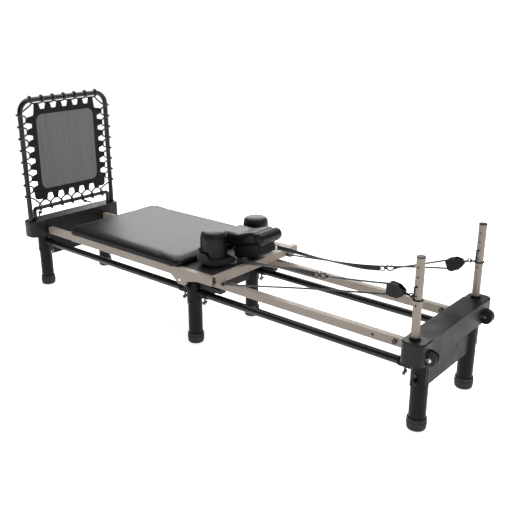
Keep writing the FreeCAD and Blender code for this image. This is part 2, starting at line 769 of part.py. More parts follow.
FRONT_BAR_REAR = FRONT - size("side_bar_width")
side_bars = [hollow_bar("carriage_front - side_bar_width - ( carriage_rear )", "side_bar_width",
                        "side_bar_depth", (REAR, y, size("side_bar_low")), "x") for y in (-HALF, INNER)]
keep(group(*side_bars), "carriage_side_bars")
keep(hollow_bar("side_bar_width", "2 * carriage_half", "front_bar_high - front_bar_low",
                (FRONT_BAR_REAR, -HALF, size("front_bar_low")), "y"), "carriage_front_bar")
keep(hollow_bar("side_bar_width", "2 * ( carriage_half - side_bar_width )", "side_bar_depth - deck_thick",
                (REAR, -INNER, size("side_bar_low")), "y"), "carriage_rear_bar")
keep(box("carriage_front - side_bar_width - ( carriage_rear )", "2 * ( carriage_half - side_bar_width )",
         "deck_thick", (REAR, -INNER, BAR_TOP - size("deck_thick"))), "carriage_deck")

strap_plate = Part.makeBox(52, 206, 4, Vector(FRONT_BAR_REAR - 52, 44, BAR_TOP))
strap_slot = Part.makeBox(34, 74, 4, Vector(FRONT_BAR_REAR - 36, 56, BAR_TOP))
keep(shaped(strap_plate.cut(strap_slot), "StrapPlate"), "front_plate")


def pad_shape():
    """The flat mattress: round corners in plan and rounded upper and lower edges."""
    half = size("pad_half")
    corners = [Vector(x, y, BAR_TOP) for x, y in (
        (size("pad_rear"), -half), (size("pad_front"), -half),
        (size("pad_front"), half), (size("pad_rear"), half))]
    solid = rounded_prism(corners, [size("pad_corner")] * 4, Z * size("pad_thick"))
    upper = [e for e in solid.Edges if e.BoundBox.ZMin > BAR_TOP + size("pad_thick") - 1e-3]
    return solid.makeFillet(10, upper)


keep(shaped(pad_shape(), "Mattress"), "pad")


def wheel_bracket(side):
    """A plate below the side bar, that guards the front roller."""
    y = side * HALF
    low = 300
    top = size("side_bar_low")
    corners = [Vector(x, y, z) for x, z in ((-62, top), (-16, low), (24, low), (36, 322), (100, top))]
    plate = rounded_prism(corners, [0, 8, 6, 0, 0], Y * -3 * side)
    hole = Part.makeCylinder(6, 3, Vector(-10, y, 318), Y * -side)
    return shaped(plate.cut(hole), "Bracket")


def corner_bracket(side):
    """A folded bracket under the front corner of the carriage."""
    y = side * (INNER - 28) if side > 0 else -(INNER)
    return box("59", "28", "14", (150, y, size("side_bar_low")))


keep(group(wheel_bracket(-1), wheel_bracket(1), corner_bracket(-1), corner_bracket(1)),
     "carriage_brackets")

ROLLER_Z = RAIL_TOP + size("roller_radius") + size("play")


def roller_tread(x, side):
    """The part of a roller that runs on top of the rail."""
    outer = size("rail_spread") + size("roller_width") / 2
    flange_outer = size("rail_spread") - size("rail_width") / 2 - size("play")
    start = Vector(x, side * outer, ROLLER_Z)
    tread = Part.makeCylinder(size("roller_radius"), outer - flange_outer, start, Y * -side)
    bore = Part.makeCylinder(size("axle_diameter") / 2 + 0.05, 60, start, Y * -side)
    return shaped(tread.cut(bore), "Tread")


def roller_flange(x, side):
    """The wider disc beside the rail that keeps a roller on it."""
    flange_outer = size("rail_spread") - size("rail_width") / 2 - size("play")
    start = Vector(x, side * flange_outer, ROLLER_Z)
    flange = Part.makeCylinder(size("flange_radius"), size("flange_width"), start, Y * -side)
    bore = Part.makeCylinder(size("axle_diameter") / 2 + 0.05, 60, start, Y * -side)
    return shaped(flange.cut(bore), "Flange")


def roller_axle(x, side):
    """An axle bolt from the side bar through the roller, with a nut inside."""
    start = side * INNER
    inner = size("rail_spread") - size("rail_width") / 2 - size("flange_width") - 1.5
    radius = size("axle_diameter") / 2
    shank = Part.makeCylinder(radius, INNER - inner + 6, Vector(x, start, ROLLER_Z), Y * -side)
    nut = Part.makeCylinder(7, 6, Vector(x, side * inner, ROLLER_Z), Y * -side)
    sleeve = Part.makeCylinder(7, INNER - size("rail_spread") - 12, Vector(x, start, ROLLER_Z), Y * -side)
    return shaped(shank.fuse([nut, sleeve]).removeSplitter(), "RollerAxle")


AXLES = {"front": size("roller_front"), "rear": size("roller_rear")}
for name, x in AXLES.items():
    discs = [make(x, side) for make in (roller_tread, roller_flange) for side in (-1, 1)]
    keep(group(*discs), "rollers_" + name)
keep(group(*[roller_axle(x, side) for x in AXLES.values() for side in (-1, 1)]), "roller_axles")


def shoulder_pad(side):
    """A padded round stop with a domed top, over its post."""
    radius = size("rest_radius")
    low = size("rest_low")
    height = size("rest_high") - low
    shape = Part.makeCylinder(radius, height, Vector(0, 0, 0), Z)
    top = [e for e in shape.Edges if e.BoundBox.ZMin > height - 1e-3]
    shape = shape.makeFillet(22, top)
    bore = Part.makeCylinder(size("rest_post"), height - 30, Vector(0, 0, 0), Z)
    return place(shaped(shape.cut(bore), "ShoulderPad"), (size("rest_x"), side * size("rest_y"), low))


def shoulder_post(side):
    at = (size("rest_x"), side * size("rest_y"), BAR_TOP)
    return join(rod("rest_radius - 16", "rest_low - " + str(BAR_TOP), at),
                rod("rest_post", "rest_high - 30 - " + str(BAR_TOP), at))


def handle_loop(side):
    """The webbing loop round a shoulder rest."""
    at = (size("rest_x"), side * size("rest_y"), size("rest_low") + 3)
    return cut(rod("rest_radius + 0.5 + loop_thick", "loop_width", at),
               rod("rest_radius + 0.5", "loop_width", at))


keep(group(shoulder_pad(-1), shoulder_pad(1)), "shoulder_pads")
keep(group(shoulder_post(-1), shoulder_post(1)), "shoulder_posts")


# ---------------------------------------------------------------- headrest

HEAD = Placement(Vector(size("head_x"), 0, size("head_z")), Rotation(Y, -size("head_tilt")))


def head_pad():
    """A contoured pad: a neck crest at its low end and a bolster roll at its high end."""
    half = size("head_half")
    end = size("bolster_x")
    thick = size("head_thick")
    underside = [(end, 0), (10, 0), (-3, 10), (-89, 39)]
    upper_side = [(-80, 68), (-46, 79), (45, thick), (139, thick), (end, thick - 6)]
    corners = [Vector(x, -half, z) for x, z in underside + upper_side]
    radii = [0, 10, 10, 9, 10, 20, 60, 30, 0]
    slab = rounded_prism(corners, radii, Y * 2 * half)
    roll_end = Vector(end, -half, size("bolster_z"))
    roll = Part.makeCylinder(size("bolster_radius"), 2 * half, roll_end, Y)
    return slab.fuse(roll).removeSplitter()


def head_board():
    """The moulded shell under the pad, open below the hinge, with the hinge barrel."""
    length = size("head_length")
    half = size("shell_half")
    low = -size("shell_depth")
    height = size("shell_depth") - 0.4
    corners = [Vector(x, y, low) for x, y in (
        (44, -half), (length - 6, -half), (length - 6, half), (44, half))]
    shell = rounded_prism(corners, [0, 14, 14, 0], Z * height)
    skirts = [Part.makeBox(38, 12, height, Vector(6, y, low)) for y in (-half, half - 12)]
    lid = Part.makeBox(38, 2 * half, 6, Vector(6, -half, -6.4))
    barrel = Part.makeCylinder(7, 60, Vector(6, -30, -13), Y)
    web = Part.makeBox(14, 60, 8, Vector(4, -30, -12))
    bore = Part.makeCylinder(4.05, 60, Vector(6, -30, -13), Y)
    whole = shell.fuse(skirts + [lid, barrel, web]).removeSplitter()
    bottom = [e for e in whole.Edges if e.BoundBox.ZMax < low + 1e-3]
    return whole.makeFillet(5, bottom).cut(bore)


head_piece = shaped(head_pad(), "HeadPad")
head_piece.Placement = HEAD
keep(head_piece, "headrest_pad")
board_piece = shaped(head_board(), "HeadBoard")
board_piece.Placement = HEAD
keep(board_piece, "headrest_board")
HINGE = HEAD.multVec(Vector(6, 0, -13))


def head_bracket():
    """The bracket on the deck that carries the headrest's hinge pin and its stop block."""
    base = Part.makeBox(58, 84, 5, Vector(HINGE.x + 6, -42, BAR_TOP))
    block = Part.makeBox(52, 84, 7, Vector(HINGE.x + 12, -42, BAR_TOP + 5))
    cheeks = []
    for side in (-1, 1):
        corners = [Vector(x, side * 36, z) for x, z in (
            (HINGE.x - 12, BAR_TOP), (HINGE.x + 30, BAR_TOP),
            (HINGE.x + 6.4, HINGE.z), (HINGE.x - 6.4, HINGE.z))]
        cheeks.append(rounded_prism(corners, [0, 0, 0, 0], Y * -5 * side))
        cheeks.append(Part.makeCylinder(6.4, 5, Vector(HINGE.x, side * 36, HINGE.z), Y * -side))
    return base.fuse([block] + cheeks).removeSplitter()


hinge_pin = Part.makeCylinder(4, 80, Vector(HINGE.x, -40, HINGE.z), Y)
keep(group(shaped(head_bracket().cut(hinge_pin), "HeadBracket"), shaped(hinge_pin, "HingePin")),
     "headrest_bracket")


# ---------------------------------------------------------------- ropes, straps and pulleys

def unit(a, b):
    return (Vector(*b) - Vector(*a)).normalize()


def tangent_normal(centre, point, outward, radius):
    """The normal, at the circle, of the tangent line that comes from a point."""
    towards = centre - point
    slope = radius / towards.Length
    towards.normalize()
    outward = (outward - towards * outward.dot(towards)).normalize()
    return outward * math.sqrt(1 - slope ** 2) - towards * slope


def rope(side_name):
    """One rope: from the carriage's anchor, round the sheave and back to the snap hook."""
    data = ROPES[side_name]
    centre = Vector(*data["sheave"])
    groove = size("groove")
    heading = unit(data["sheave"], data["ring"])
    below = tangent_normal(centre, Vector(*data["low"][-1]), -Z, groove)
    above = tangent_normal(centre, Vector(*data["high"]), Z, groove)
    turns = [centre + (normal + heading) * (groove / (1 + normal.dot(heading))) for normal in (below, above)]
    points = [data["anchor"]] + data["low"] + [tuple(turn) for turn in turns]
    hook_end = Vector(*data["hook"][0])
    points += [data["high"], tuple(hook_end + (Vector(*data["high"]) - hook_end).normalize() * 0.8)]
    corner = 1 + len(data["low"])
    bends = {corner: groove * 0.97, corner + 1: groove * 0.97}
    return tube(points, size("rope_diameter"), bends=bends, name="rope " + side_name)


def strap(side_name):
    """The strap from the D-ring to just short of the snap hook's bow."""
    points = list(ROPES[side_name]["strap"])
    end = Vector(*points[-1])
    points[-1] = tuple(end - (end - Vector(*points[-2])).normalize() * 1.2)
    return tube(points, size("strap_diameter"), name="strap " + side_name)


def pulley_frame(data):
    """The pulley's own frame: its origin at the sheave and its +X towards the ring."""
    heading = unit(data["sheave"], data["ring"])
    side_axis = Z.cross(heading).normalize()
    up = heading.cross(side_axis)
    matrix = FreeCAD.Matrix(heading.x, side_axis.x, up.x, data["sheave"][0],
                            heading.y, side_axis.y, up.y, data["sheave"][1],
                            heading.z, side_axis.z, up.z, data["sheave"][2])
    return Placement(matrix)


def pulley_block(reach):
    """Two cheeks with a nose that holds the swivel eye, and the sheave's axle."""
    cheeks = []
    for side in (-1, 1):
        outline = [Vector(x, side * 11.5, z) for x, z in (
            (-25, -20), (-10, -26), (22, -24), (44, -9), (44, 9), (22, 24), (-10, 26), (-25, 20))]
        cheeks.append(rounded_prism(outline, [10, 12, 8, 4, 4, 8, 12, 10], Y * -3 * side))
    nose = Part.makeBox(14, 23, 16, Vector(30, -11.5, -8))
    axle = Part.makeCylinder(4, 27, Vector(0, -13.5, 0), Y)
    stem = Part.makeCylinder(4, reach - 44 - 7, Vector(44, 0, 0), X)
    eye = Part.makeTorus(7, 2.2, Vector(reach, 0, 0), Y)
    return cheeks[0].fuse([cheeks[1], nose, axle, stem, eye]).removeSplitter()


def sheave():
    """A grooved wheel: two flanges and a groove that the rope lies in."""
    radius = size("sheave_radius")
    root = size("groove") - size("rope_diameter") / 2 - 0.5
    half = size("sheave_width") / 2
    profile = [Vector(4.05, -half, 0), Vector(radius, -half, 0), Vector(radius, -half + 1, 0),
               Vector(root, -4.5, 0), Vector(root, 4.5, 0), Vector(radius, half - 1, 0),
               Vector(radius, half, 0), Vector(4.05, half, 0)]
    return Part.Face(Part.makePolygon(profile + [profile[0]])).revolve(Vector(), Y, 360)


def snap_hook(data):
    """A swivel snap hook: a bow for the strap, a swivel and a gated hook."""
    start = Vector(*data["hook"][1])
    end = Vector(*data["hook"][0])
    length = (end - start).Length
    heading = (end - start).normalize()
    side_axis = Z.cross(heading).normalize()
    up = heading.cross(side_axis)
    matrix = FreeCAD.Matrix(heading.x, side_axis.x, up.x, start.x,
                            heading.y, side_axis.y, up.y, start.y,
                            heading.z, side_axis.z, up.z, start.z)
    bow = Part.makeTorus(9, 2.5, Vector(11.5, 0, 0), Y)
    swivel = Part.makeCylinder(4.5, 10, Vector(22, 0, 0), X)
    hook = Part.makeTorus(9, 3, Vector(length - 34, 0, 0), Y)
    hook = hook.fuse(Part.makeTorus(9, 3, Vector(length - 22, 0, 0), Y))
    barrel = Part.makeCylinder(4.5, 14, Vector(length - 14, 0, 0), X)
    shape = bow.fuse([swivel, hook, barrel]).removeSplitter()
    return place_by(shaped(shape, "SnapHook"), Placement(matrix))


def place_by(piece, placement):
    piece.Placement = placement
    return piece


for name, data in ROPES.items():
    keep(shaped(rope(name), "Rope"), "rope_" + name)
    keep(shaped(strap(name), "Strap"), "strap_" + name)
    frame = pulley_frame(data)
    reach = (Vector(*data["ring"]) - Vector(*data["sheave"])).Length
    keep(place_by(shaped(pulley_block(reach), "PulleyBlock"), frame), "pulley_block_" + name)
    keep(place_by(shaped(sheave(), "Sheave"), frame), "sheave_" + name)
    keep(snap_hook(data), "snap_hook_" + name)


def anchor_knob(name):
    """The knob on the carriage that a rope ends in."""
    y, z = ROPES[name]["anchor"][1:]
    return rod("7", "9", (FRONT, y, z), "x")


def deck_bolt(x, y, z, radius):
    """A domed bolt head."""
    return cone(str(radius), str(radius - 1.5), "2.5", (x, y, z))


deck_bolts = [deck_bolt(x, side * (INNER - 8), BAR_TOP, 5) for x in (66, 28) for side in (-1, 1)]
deck_bolts += [deck_bolt(FRONT_BAR_REAR + 12.5, y, size("front_bar_high"), 5) for y in (-24, -4)]
keep(group(anchor_knob("near"), anchor_knob("far"), *deck_bolts), "carriage_bolts")


def strap_ring(name):
    """The D-ring that joins a handle loop to its strap."""
    strap = ROPES[name]["strap"]
    start = Vector(*strap[0])
    heading = (Vector(*strap[1]) - start).normalize()
    hoop = Part.makeTorus(12, 2.5, start - heading * 14.5, heading.cross(Z))
    return shaped(hoop, "DRing")


keep(group(handle_loop(-1), handle_loop(1), strap_ring("near"), strap_ring("far")), "handle_loops")

# ---------------------------------------------------------------- checks and output

doc.recompute()
for item in doc.Objects:
    if "Invalid" in item.State or "Error" in item.State:
        raise RuntimeError("%s (%s) failed: %s" % (item.Name, item.Label, item.State))
for piece in subparts:
    if piece.Shape.isNull() or not piece.Shape.isValid():
        raise RuntimeError(piece.Label + " has a null or invalid shape")
    piece.Shape.exportStep("parts/" + piece.Label + ".step")
print(len(subparts), "sub-parts")
whole = Part.makeCompound([piece.Shape for piece in subparts]).BoundBox
print("X %.1f..%.1f  Y %.1f..%.1f  Z %.1f..%.1f" % (
    whole.XMin, whole.XMax, whole.YMin, whole.YMax, whole.ZMin, whole.ZMax))
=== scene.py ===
import json
import math

import bmesh
import bpy
from mathutils import Matrix, Vector, noise


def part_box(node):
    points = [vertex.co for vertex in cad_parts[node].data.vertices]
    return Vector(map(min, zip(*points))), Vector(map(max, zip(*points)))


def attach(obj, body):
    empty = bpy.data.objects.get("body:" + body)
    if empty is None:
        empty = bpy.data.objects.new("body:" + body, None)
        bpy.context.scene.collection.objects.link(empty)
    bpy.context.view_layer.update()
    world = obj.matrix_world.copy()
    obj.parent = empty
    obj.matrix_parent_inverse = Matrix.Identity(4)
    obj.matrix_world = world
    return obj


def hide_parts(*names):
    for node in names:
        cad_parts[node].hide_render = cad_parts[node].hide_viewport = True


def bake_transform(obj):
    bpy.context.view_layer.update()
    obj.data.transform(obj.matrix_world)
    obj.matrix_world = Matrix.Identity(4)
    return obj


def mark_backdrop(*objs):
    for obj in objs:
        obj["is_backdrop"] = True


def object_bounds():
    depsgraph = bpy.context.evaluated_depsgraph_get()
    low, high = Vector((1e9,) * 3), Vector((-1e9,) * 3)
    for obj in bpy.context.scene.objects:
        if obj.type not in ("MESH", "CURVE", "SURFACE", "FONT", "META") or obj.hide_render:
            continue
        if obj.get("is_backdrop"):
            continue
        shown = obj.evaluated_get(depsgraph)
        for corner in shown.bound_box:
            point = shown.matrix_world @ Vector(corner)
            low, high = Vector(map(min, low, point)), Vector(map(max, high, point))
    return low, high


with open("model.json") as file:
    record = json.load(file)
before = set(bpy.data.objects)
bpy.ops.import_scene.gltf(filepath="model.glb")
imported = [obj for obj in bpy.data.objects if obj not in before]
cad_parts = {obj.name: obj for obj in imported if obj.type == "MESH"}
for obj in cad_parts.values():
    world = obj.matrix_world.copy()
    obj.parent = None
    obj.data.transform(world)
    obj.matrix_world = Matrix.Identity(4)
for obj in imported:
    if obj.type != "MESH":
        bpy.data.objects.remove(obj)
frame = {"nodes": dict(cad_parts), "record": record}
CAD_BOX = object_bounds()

# ---------------------------------------------------------------- camera and light

CAMERA_AT = Vector((2.1229, -2.3047, 1.4507))
CAMERA_YAW = 39.98
CAMERA_PITCH = 19.28


def make_camera():
    """The view: a long lens, above and to the right of the foot end."""
    data = bpy.data.cameras.new("camera")
    data.lens = 50.86
    data.sensor_width = 36
    camera = bpy.data.objects.new("camera", data)
    bpy.context.collection.objects.link(camera)
    camera.location = CAMERA_AT
    camera.rotation_euler = (math.radians(90 - CAMERA_PITCH), 0, math.radians(CAMERA_YAW))
    bpy.context.scene.camera = camera


def make_light(name, at, target, size, power):
    """A rectangular soft light that faces a target."""
    data = bpy.data.lights.new(name, "AREA")
    data.shape = "RECTANGLE"
    data.size, data.size_y = size
    data.energy = power
    light = bpy.data.objects.new(name, data)
    bpy.context.collection.objects.link(light)
    light.location = at
    light.rotation_euler = (Vector(target) - Vector(at)).to_track_quat("-Z", "Y").to_euler()


FLOOR_GLOW = 0.78
WORLD_GLOW = 0.22
BACKDROP_RADIUS = 5


def glowing(name, shade, roughness, strength):
    """A grey material that also gives off white light."""
    material = bpy.data.materials.new(name)
    material.use_nodes = True
    shader = material.node_tree.nodes["Principled BSDF"]
    shader.inputs["Base Color"].default_value = (shade, shade, shade, 1)
    shader.inputs["Roughness"].default_value = roughness
    shader.inputs["Emission Color"].default_value = (1, 1, 1, 1)
    shader.inputs["Emission Strength"].default_value = strength
    return material


def make_stage():
    """A pale floor inside a bright round backdrop, a pale world and soft lights."""
    mesh = bpy.data.meshes.new("floor")
    mesh.from_pydata([(-30, -30, 0), (30, -30, 0), (30, 30, 0), (-30, 30, 0)], [], [(0, 1, 2, 3)])
    floor = bpy.data.objects.new("floor", mesh)
    bpy.context.collection.objects.link(floor)
    mesh.materials.append(glowing("floor", 0.92, 0.9, FLOOR_GLOW))
    form = bmesh.new()
    bmesh.ops.create_cone(form, segments=96, radius1=BACKDROP_RADIUS, radius2=BACKDROP_RADIUS, depth=24,
                          cap_ends=False)
    mesh = bpy.data.meshes.new("backdrop")
    form.to_mesh(mesh)
    form.free()
    backdrop = bpy.data.objects.new("backdrop", mesh)
    bpy.context.collection.objects.link(backdrop)
    backdrop.visible_diffuse = backdrop.visible_glossy = backdrop.visible_shadow = False
    mesh.materials.append(glowing("backdrop", 0, 0.5, 1))
    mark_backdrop(floor, backdrop)
    world = bpy.data.worlds.new("world")
    bpy.context.scene.world = world
    world.use_nodes = True
    world.node_tree.nodes["Background"].inputs["Color"].default_value = (1, 1, 1, 1)
    world.node_tree.nodes["Background"].inputs["Strength"].default_value = WORLD_GLOW
    make_light("overhead", (-0.4, 0.8, 3.4), (0, 0, 0.3), (5, 3), 125)
    make_light("back", (-2.6, 3.4, 2.2), (0, 0, 0.4), (4, 2), 95)
    make_light("right_front", (3.2, -1.2, 1.8), (0.4, 0, 0.3), (1.5, 1.5), 14)
    bpy.context.scene.view_settings.view_transform = "Standard"


make_camera()
make_stage()


# ---------------------------------------------------------------- materials

class Paint:
    """A procedural material under construction."""

    def __init__(self, name, colour, roughness, metallic=0.0):
        self.material = bpy.data.materials.new(name)
        self.material.use_nodes = True
        self.tree = self.material.node_tree
        self.shader = self.tree.nodes["Principled BSDF"]
        self.shader.inputs["Base Color"].default_value = (*colour, 1)
        self.shader.inputs["Roughness"].default_value = roughness
        self.shader.inputs["Metallic"].default_value = metallic
        self.colour = colour
        self.height = None

    def node(self, kind, **values):
        """A node with its sockets and settings given by name."""
        node = self.tree.nodes.new(kind)
        for name, value in values.items():
            if name in node.inputs:
                node.inputs[name].default_value = value
            else:
                setattr(node, name, value)
        return node

    def link(self, start, end):
        self.tree.links.new(start, end)

    def set(self, **values):
        """Uniform values set on the shader's own sockets."""
        for name, value in values.items():
            self.shader.inputs[name.replace("_", " ")].default_value = value

    def place(self, scale=(1, 1, 1)):
        """Object coordinates in metres, stretched."""
        where = self.node("ShaderNodeTexCoord")
        mapping = self.node("ShaderNodeMapping")
        mapping.inputs["Scale"].default_value = scale
        self.link(where.outputs["Object"], mapping.inputs["Vector"])
        return mapping.outputs["Vector"]

    def noise(self, scale, detail=4.0, stretch=(1, 1, 1)):
        texture = self.node("ShaderNodeTexNoise", Scale=scale, Detail=detail)
        self.link(self.place(stretch), texture.inputs["Vector"])
        return texture.outputs["Fac"]

    def map(self, value, low, high, start=0.3, end=0.7):
        ranged = self.node("ShaderNodeMapRange", **{"From Min": start, "From Max": end,
                                                    "To Min": low, "To Max": high})
        self.link(value, ranged.inputs["Value"])
        return ranged.outputs["Result"]

    def mix(self, factor, first, second):
        blend = self.node("ShaderNodeMix", data_type="RGBA")
        self.link(factor, blend.inputs["Factor"])
        blend.inputs["A"].default_value = (*first, 1)
        blend.inputs["B"].default_value = (*second, 1)
        return blend.outputs["Result"]

    def mottle(self, scale, amount, detail=5.0):
        """Slight colour variation over the surface."""
        factor = self.map(self.noise(scale, detail), 0, 1)
        darker = [c * (1 - amount) for c in self.colour]
        lighter = [min(1, c * (1 + amount)) for c in self.colour]
        self.link(self.mix(factor, darker, lighter), self.shader.inputs["Base Color"])

    def vary_roughness(self, scale, low, high):
        self.link(self.map(self.noise(scale, 6), low, high), self.shader.inputs["Roughness"])

    def bump(self, value, distance, strength=1.0):
        bump = self.node("ShaderNodeBump")
        bump.inputs["Distance"].default_value = distance
        bump.inputs["Strength"].default_value = strength
        self.link(value, bump.inputs["Height"])
        if self.height is not None:
            self.link(self.height, bump.inputs["Normal"])
        self.height = bump.outputs["Normal"]
        self.link(self.height, self.shader.inputs["Normal"])

    def wave(self, scale, axis):
        """Bands across the piece's own UVs."""
        texture = self.node("ShaderNodeTexWave", bands_direction=axis, wave_profile="SIN", Scale=scale)
        where = self.node("ShaderNodeTexCoord")
        self.link(where.outputs["UV"], texture.inputs["Vector"])
        return texture.outputs["Fac"]

    def maths(self, operation, first, second):
        node = self.node("ShaderNodeMath", operation=operation)
        for socket, value in zip(node.inputs, (first, second)):
            if isinstance(value, (int, float)):
                socket.default_value = value
            else:
                self.link(value, socket)
        return node.outputs["Value"]


def powder_paint(name, colour, roughness):
    """Painted steel: fine orange peel, uneven sheen and faint colour change."""
    paint = Paint(name, colour, roughness)
    paint.mottle(9, 0.12)
    paint.vary_roughness(22, roughness - 0.06, roughness + 0.08)
    paint.bump(paint.noise(900, 2), 0.00012, 0.5)
    paint.set(Specular_IOR_Level=0.12)
    return paint.material


def gloss_paint(name, colour):
    """Glossy tube paint with long draw marks and light dust."""
    paint = Paint(name, colour, 0.22)
    paint.mottle(14, 0.2)
    paint.vary_roughness(30, 0.16, 0.3)
    paint.bump(paint.noise(60, 4, (0.1, 1, 1)), 0.0001, 0.35)
    paint.set(Specular_IOR_Level=0.4)
    return paint.material


def taupe_paint():
    """Satin champagne paint: warm grey, with a metallic fleck and faint streaks."""
    paint = Paint("taupe_paint", (0.315, 0.268, 0.226), 0.42, 0.1)
    paint.mottle(6, 0.05)
    paint.vary_roughness(26, 0.36, 0.5)
    paint.bump(paint.noise(1400, 1), 0.00008, 0.5)
    paint.bump(paint.noise(35, 3, (0.15, 1, 1)), 0.00012, 0.2)
    paint.set(Specular_IOR_Level=0.4)
    return paint.material


def moulded(name, colour, roughness=0.42, grain=700):
    """Moulded plastic with a fine spark texture."""
    paint = Paint(name, colour, roughness)
    paint.mottle(18, 0.1)
    paint.vary_roughness(45, roughness - 0.07, roughness + 0.08)
    paint.bump(paint.noise(grain, 2), 0.00018, 0.5)
    paint.set(Specular_IOR_Level=0.2)
    return paint.material


def rubber():
    """Rubber with a knurl of small studs."""
    paint = Paint("ribbed_rubber", (0.03, 0.03, 0.031), 0.6)
    paint.mottle(25, 0.25)
    paint.vary_roughness(60, 0.5, 0.72)
    paint.bump(paint.noise(420, 4), 0.0002, 0.6)
    split = paint.node("ShaderNodeSeparateXYZ")
    paint.link(paint.place(), split.inputs["Vector"])
    pitch = 2 * math.pi / 0.0075
    rows = [paint.maths("SINE", paint.maths("MULTIPLY", split.outputs[axis], pitch), 0) for axis in "XYZ"]
    studs = paint.maths("MULTIPLY", rows[2], paint.maths("ADD", rows[0], rows[1]))
    paint.bump(studs, 0.0011, 0.8)
    paint.set(Specular_IOR_Level=0.25)
    return paint.material


def steel(name, colour=(0.62, 0.62, 0.61), roughness=0.24):
    """Plated steel, with fine turning marks."""
    paint = Paint(name, colour, roughness, 1.0)
    paint.mottle(40, 0.1)
    paint.vary_roughness(120, roughness - 0.08, roughness + 0.12)
    paint.bump(paint.noise(900, 2), 0.00006, 0.5)
    return paint.material


def vinyl():
    """Upholstery vinyl: leather-like pebbles with fine creases and a soft gloss."""
    paint = Paint("black_vinyl", (0.0062, 0.006, 0.0062), 0.32)
    paint.mottle(38, 0.06)
    paint.vary_roughness(30, 0.315, 0.345)
    cells = paint.node("ShaderNodeTexVoronoi", feature="DISTANCE_TO_EDGE", Scale=620)
    paint.link(paint.place(), cells.inputs["Vector"])
    paint.bump(paint.map(cells.outputs["Distance"], 0, 1, 0.0, 0.16), 0.00014, 0.45)
    paint.set(Specular_IOR_Level=0.27)
    return paint.material


def webbing():
    """Woven strap: a herringbone of ribs, with painted shade in the troughs between ribs and a painted
    highlight on their crests.
    """
    colour = (0.02, 0.02, 0.021)
    paint = Paint("webbing", colour, 0.78)
    along = paint.wave(2.2, "Y")
    diagonal = paint.wave(3.0, "DIAGONAL")
    weave = paint.maths("MULTIPLY", along, diagonal)
    # The colour follows the weave's relief: painted shade in the rib troughs, painted highlight on the rib
    # crests.
    darker = [c * 0.5 for c in colour]
    lighter = [c * 1.9 for c in colour]
    paint.link(paint.mix(weave, darker, lighter), paint.shader.inputs["Base Color"])
    paint.bump(weave, 0.0005, 0.7)
    paint.bump(paint.noise(900, 3), 0.0002, 0.4)
    paint.set(Sheen_Weight=0.3, Sheen_Roughness=0.5)
    return paint.material


def braid(name="braided_cord", colour=(0.016, 0.016, 0.017)):
    """Braided cord: two crossing spirals of strands round the tube, with painted shade in the gaps between
    strands and a painted highlight on their crests.
    """
    paint = Paint(name, colour, 0.6)
    where = paint.node("ShaderNodeTexCoord")
    split = paint.node("ShaderNodeSeparateXYZ")
    paint.link(where.outputs["UV"], split.inputs["Vector"])
    turns = paint.maths("MULTIPLY", split.outputs["Y"], 8 * math.pi)
    length = paint.maths("MULTIPLY", split.outputs["X"], 700.0)
    left = paint.maths("SINE", paint.maths("ADD", turns, length), 0)
    right = paint.maths("SINE", paint.maths("SUBTRACT", turns, length), 0)
    strands = paint.maths("MAXIMUM", left, right)
    # The colour follows the strands' relief: painted shade between the strands, painted highlight on their
    # crests.
    factor = paint.map(strands, 0, 1, -0.2, 1.0)
    paint.link(paint.mix(factor, [c * 0.4 for c in colour], [c * 2.2 for c in colour]),
               paint.shader.inputs["Base Color"])
    paint.bump(strands, 0.0005, 0.7)
    paint.set(Sheen_Weight=0.25, Sheen_Roughness=0.5)
    return paint.material


def mesh_weave():
    """The rebounder's mat: a tight square weave, with painted shade between the threads, and faint vertical
    tone bands.
    """
    paint = Paint("mesh_weave", (0.13, 0.13, 0.13), 0.7)
    where = paint.place()
    split = paint.node("ShaderNodeSeparateXYZ")
    paint.link(where, split.inputs["Vector"])
    pitch = 2 * math.pi / 0.0016
    warp = paint.maths("SINE", paint.maths("MULTIPLY", split.outputs["Y"], pitch), 0)
    weft = paint.maths("SINE", paint.maths("MULTIPLY", split.outputs["Z"], pitch), 0)
    weave = paint.maths("MAXIMUM", warp, weft)
    bands = paint.noise(14, 3, (1, 6, 0.15))
    # Painted shade between the threads: darker where no thread crest lies, plus faint vertical bands of tone.
    shade = paint.maths("ADD", paint.map(weave, 0.0, 0.55, -1, 1), paint.map(bands, 0.0, 0.45))
    darker, lighter = (0.085, 0.085, 0.085), (0.16, 0.16, 0.162)
    paint.link(paint.mix(shade, darker, lighter), paint.shader.inputs["Base Color"])
    paint.bump(weave, 0.0003, 0.6)
    paint.set(Sheen_Weight=0.2, Sheen_Roughness=0.5)
    return paint.material


MATERIALS = {
    "black_paint": powder_paint("black_powder", (0.008, 0.008, 0.0084), 0.38),
    "beam_paint": powder_paint("beam_powder", (0.0085, 0.0068, 0.0074), 0.36),
    "gloss_black_tube": gloss_paint("gloss_black", (0.005, 0.005, 0.006)),
    "cap_plastic": moulded("cap_plastic", (0.014, 0.014, 0.0145), 0.34),
    "taupe_paint": taupe_paint(),
    "black_rubber": rubber(),
    "black_plastic": moulded("black_plastic", (0.012, 0.012, 0.0125)),
    "deck": moulded("deck_board", (0.014, 0.014, 0.015), 0.55, 300),
    "steel": steel("zinc_steel"),
    "chrome": steel("chrome_ring", (0.75, 0.75, 0.76), 0.12),
    "black_vinyl": vinyl(),
    "webbing": webbing(),
    "rope": braid(),
    "mesh_fabric": mesh_weave(),
    "roller_plastic": moulded("nylon", (0.16, 0.16, 0.16), 0.4),
    "hem": moulded("hem_fabric", (0.012, 0.012, 0.0125), 0.8, 500),
    "thread": moulded("thread", (0.03, 0.03, 0.031), 0.7, 900),
    "bungee": braid("bungee_braid", (0.011, 0.011, 0.0115)),
    "dark_steel": steel("blackened_steel", (0.055, 0.055, 0.06), 0.36),
}

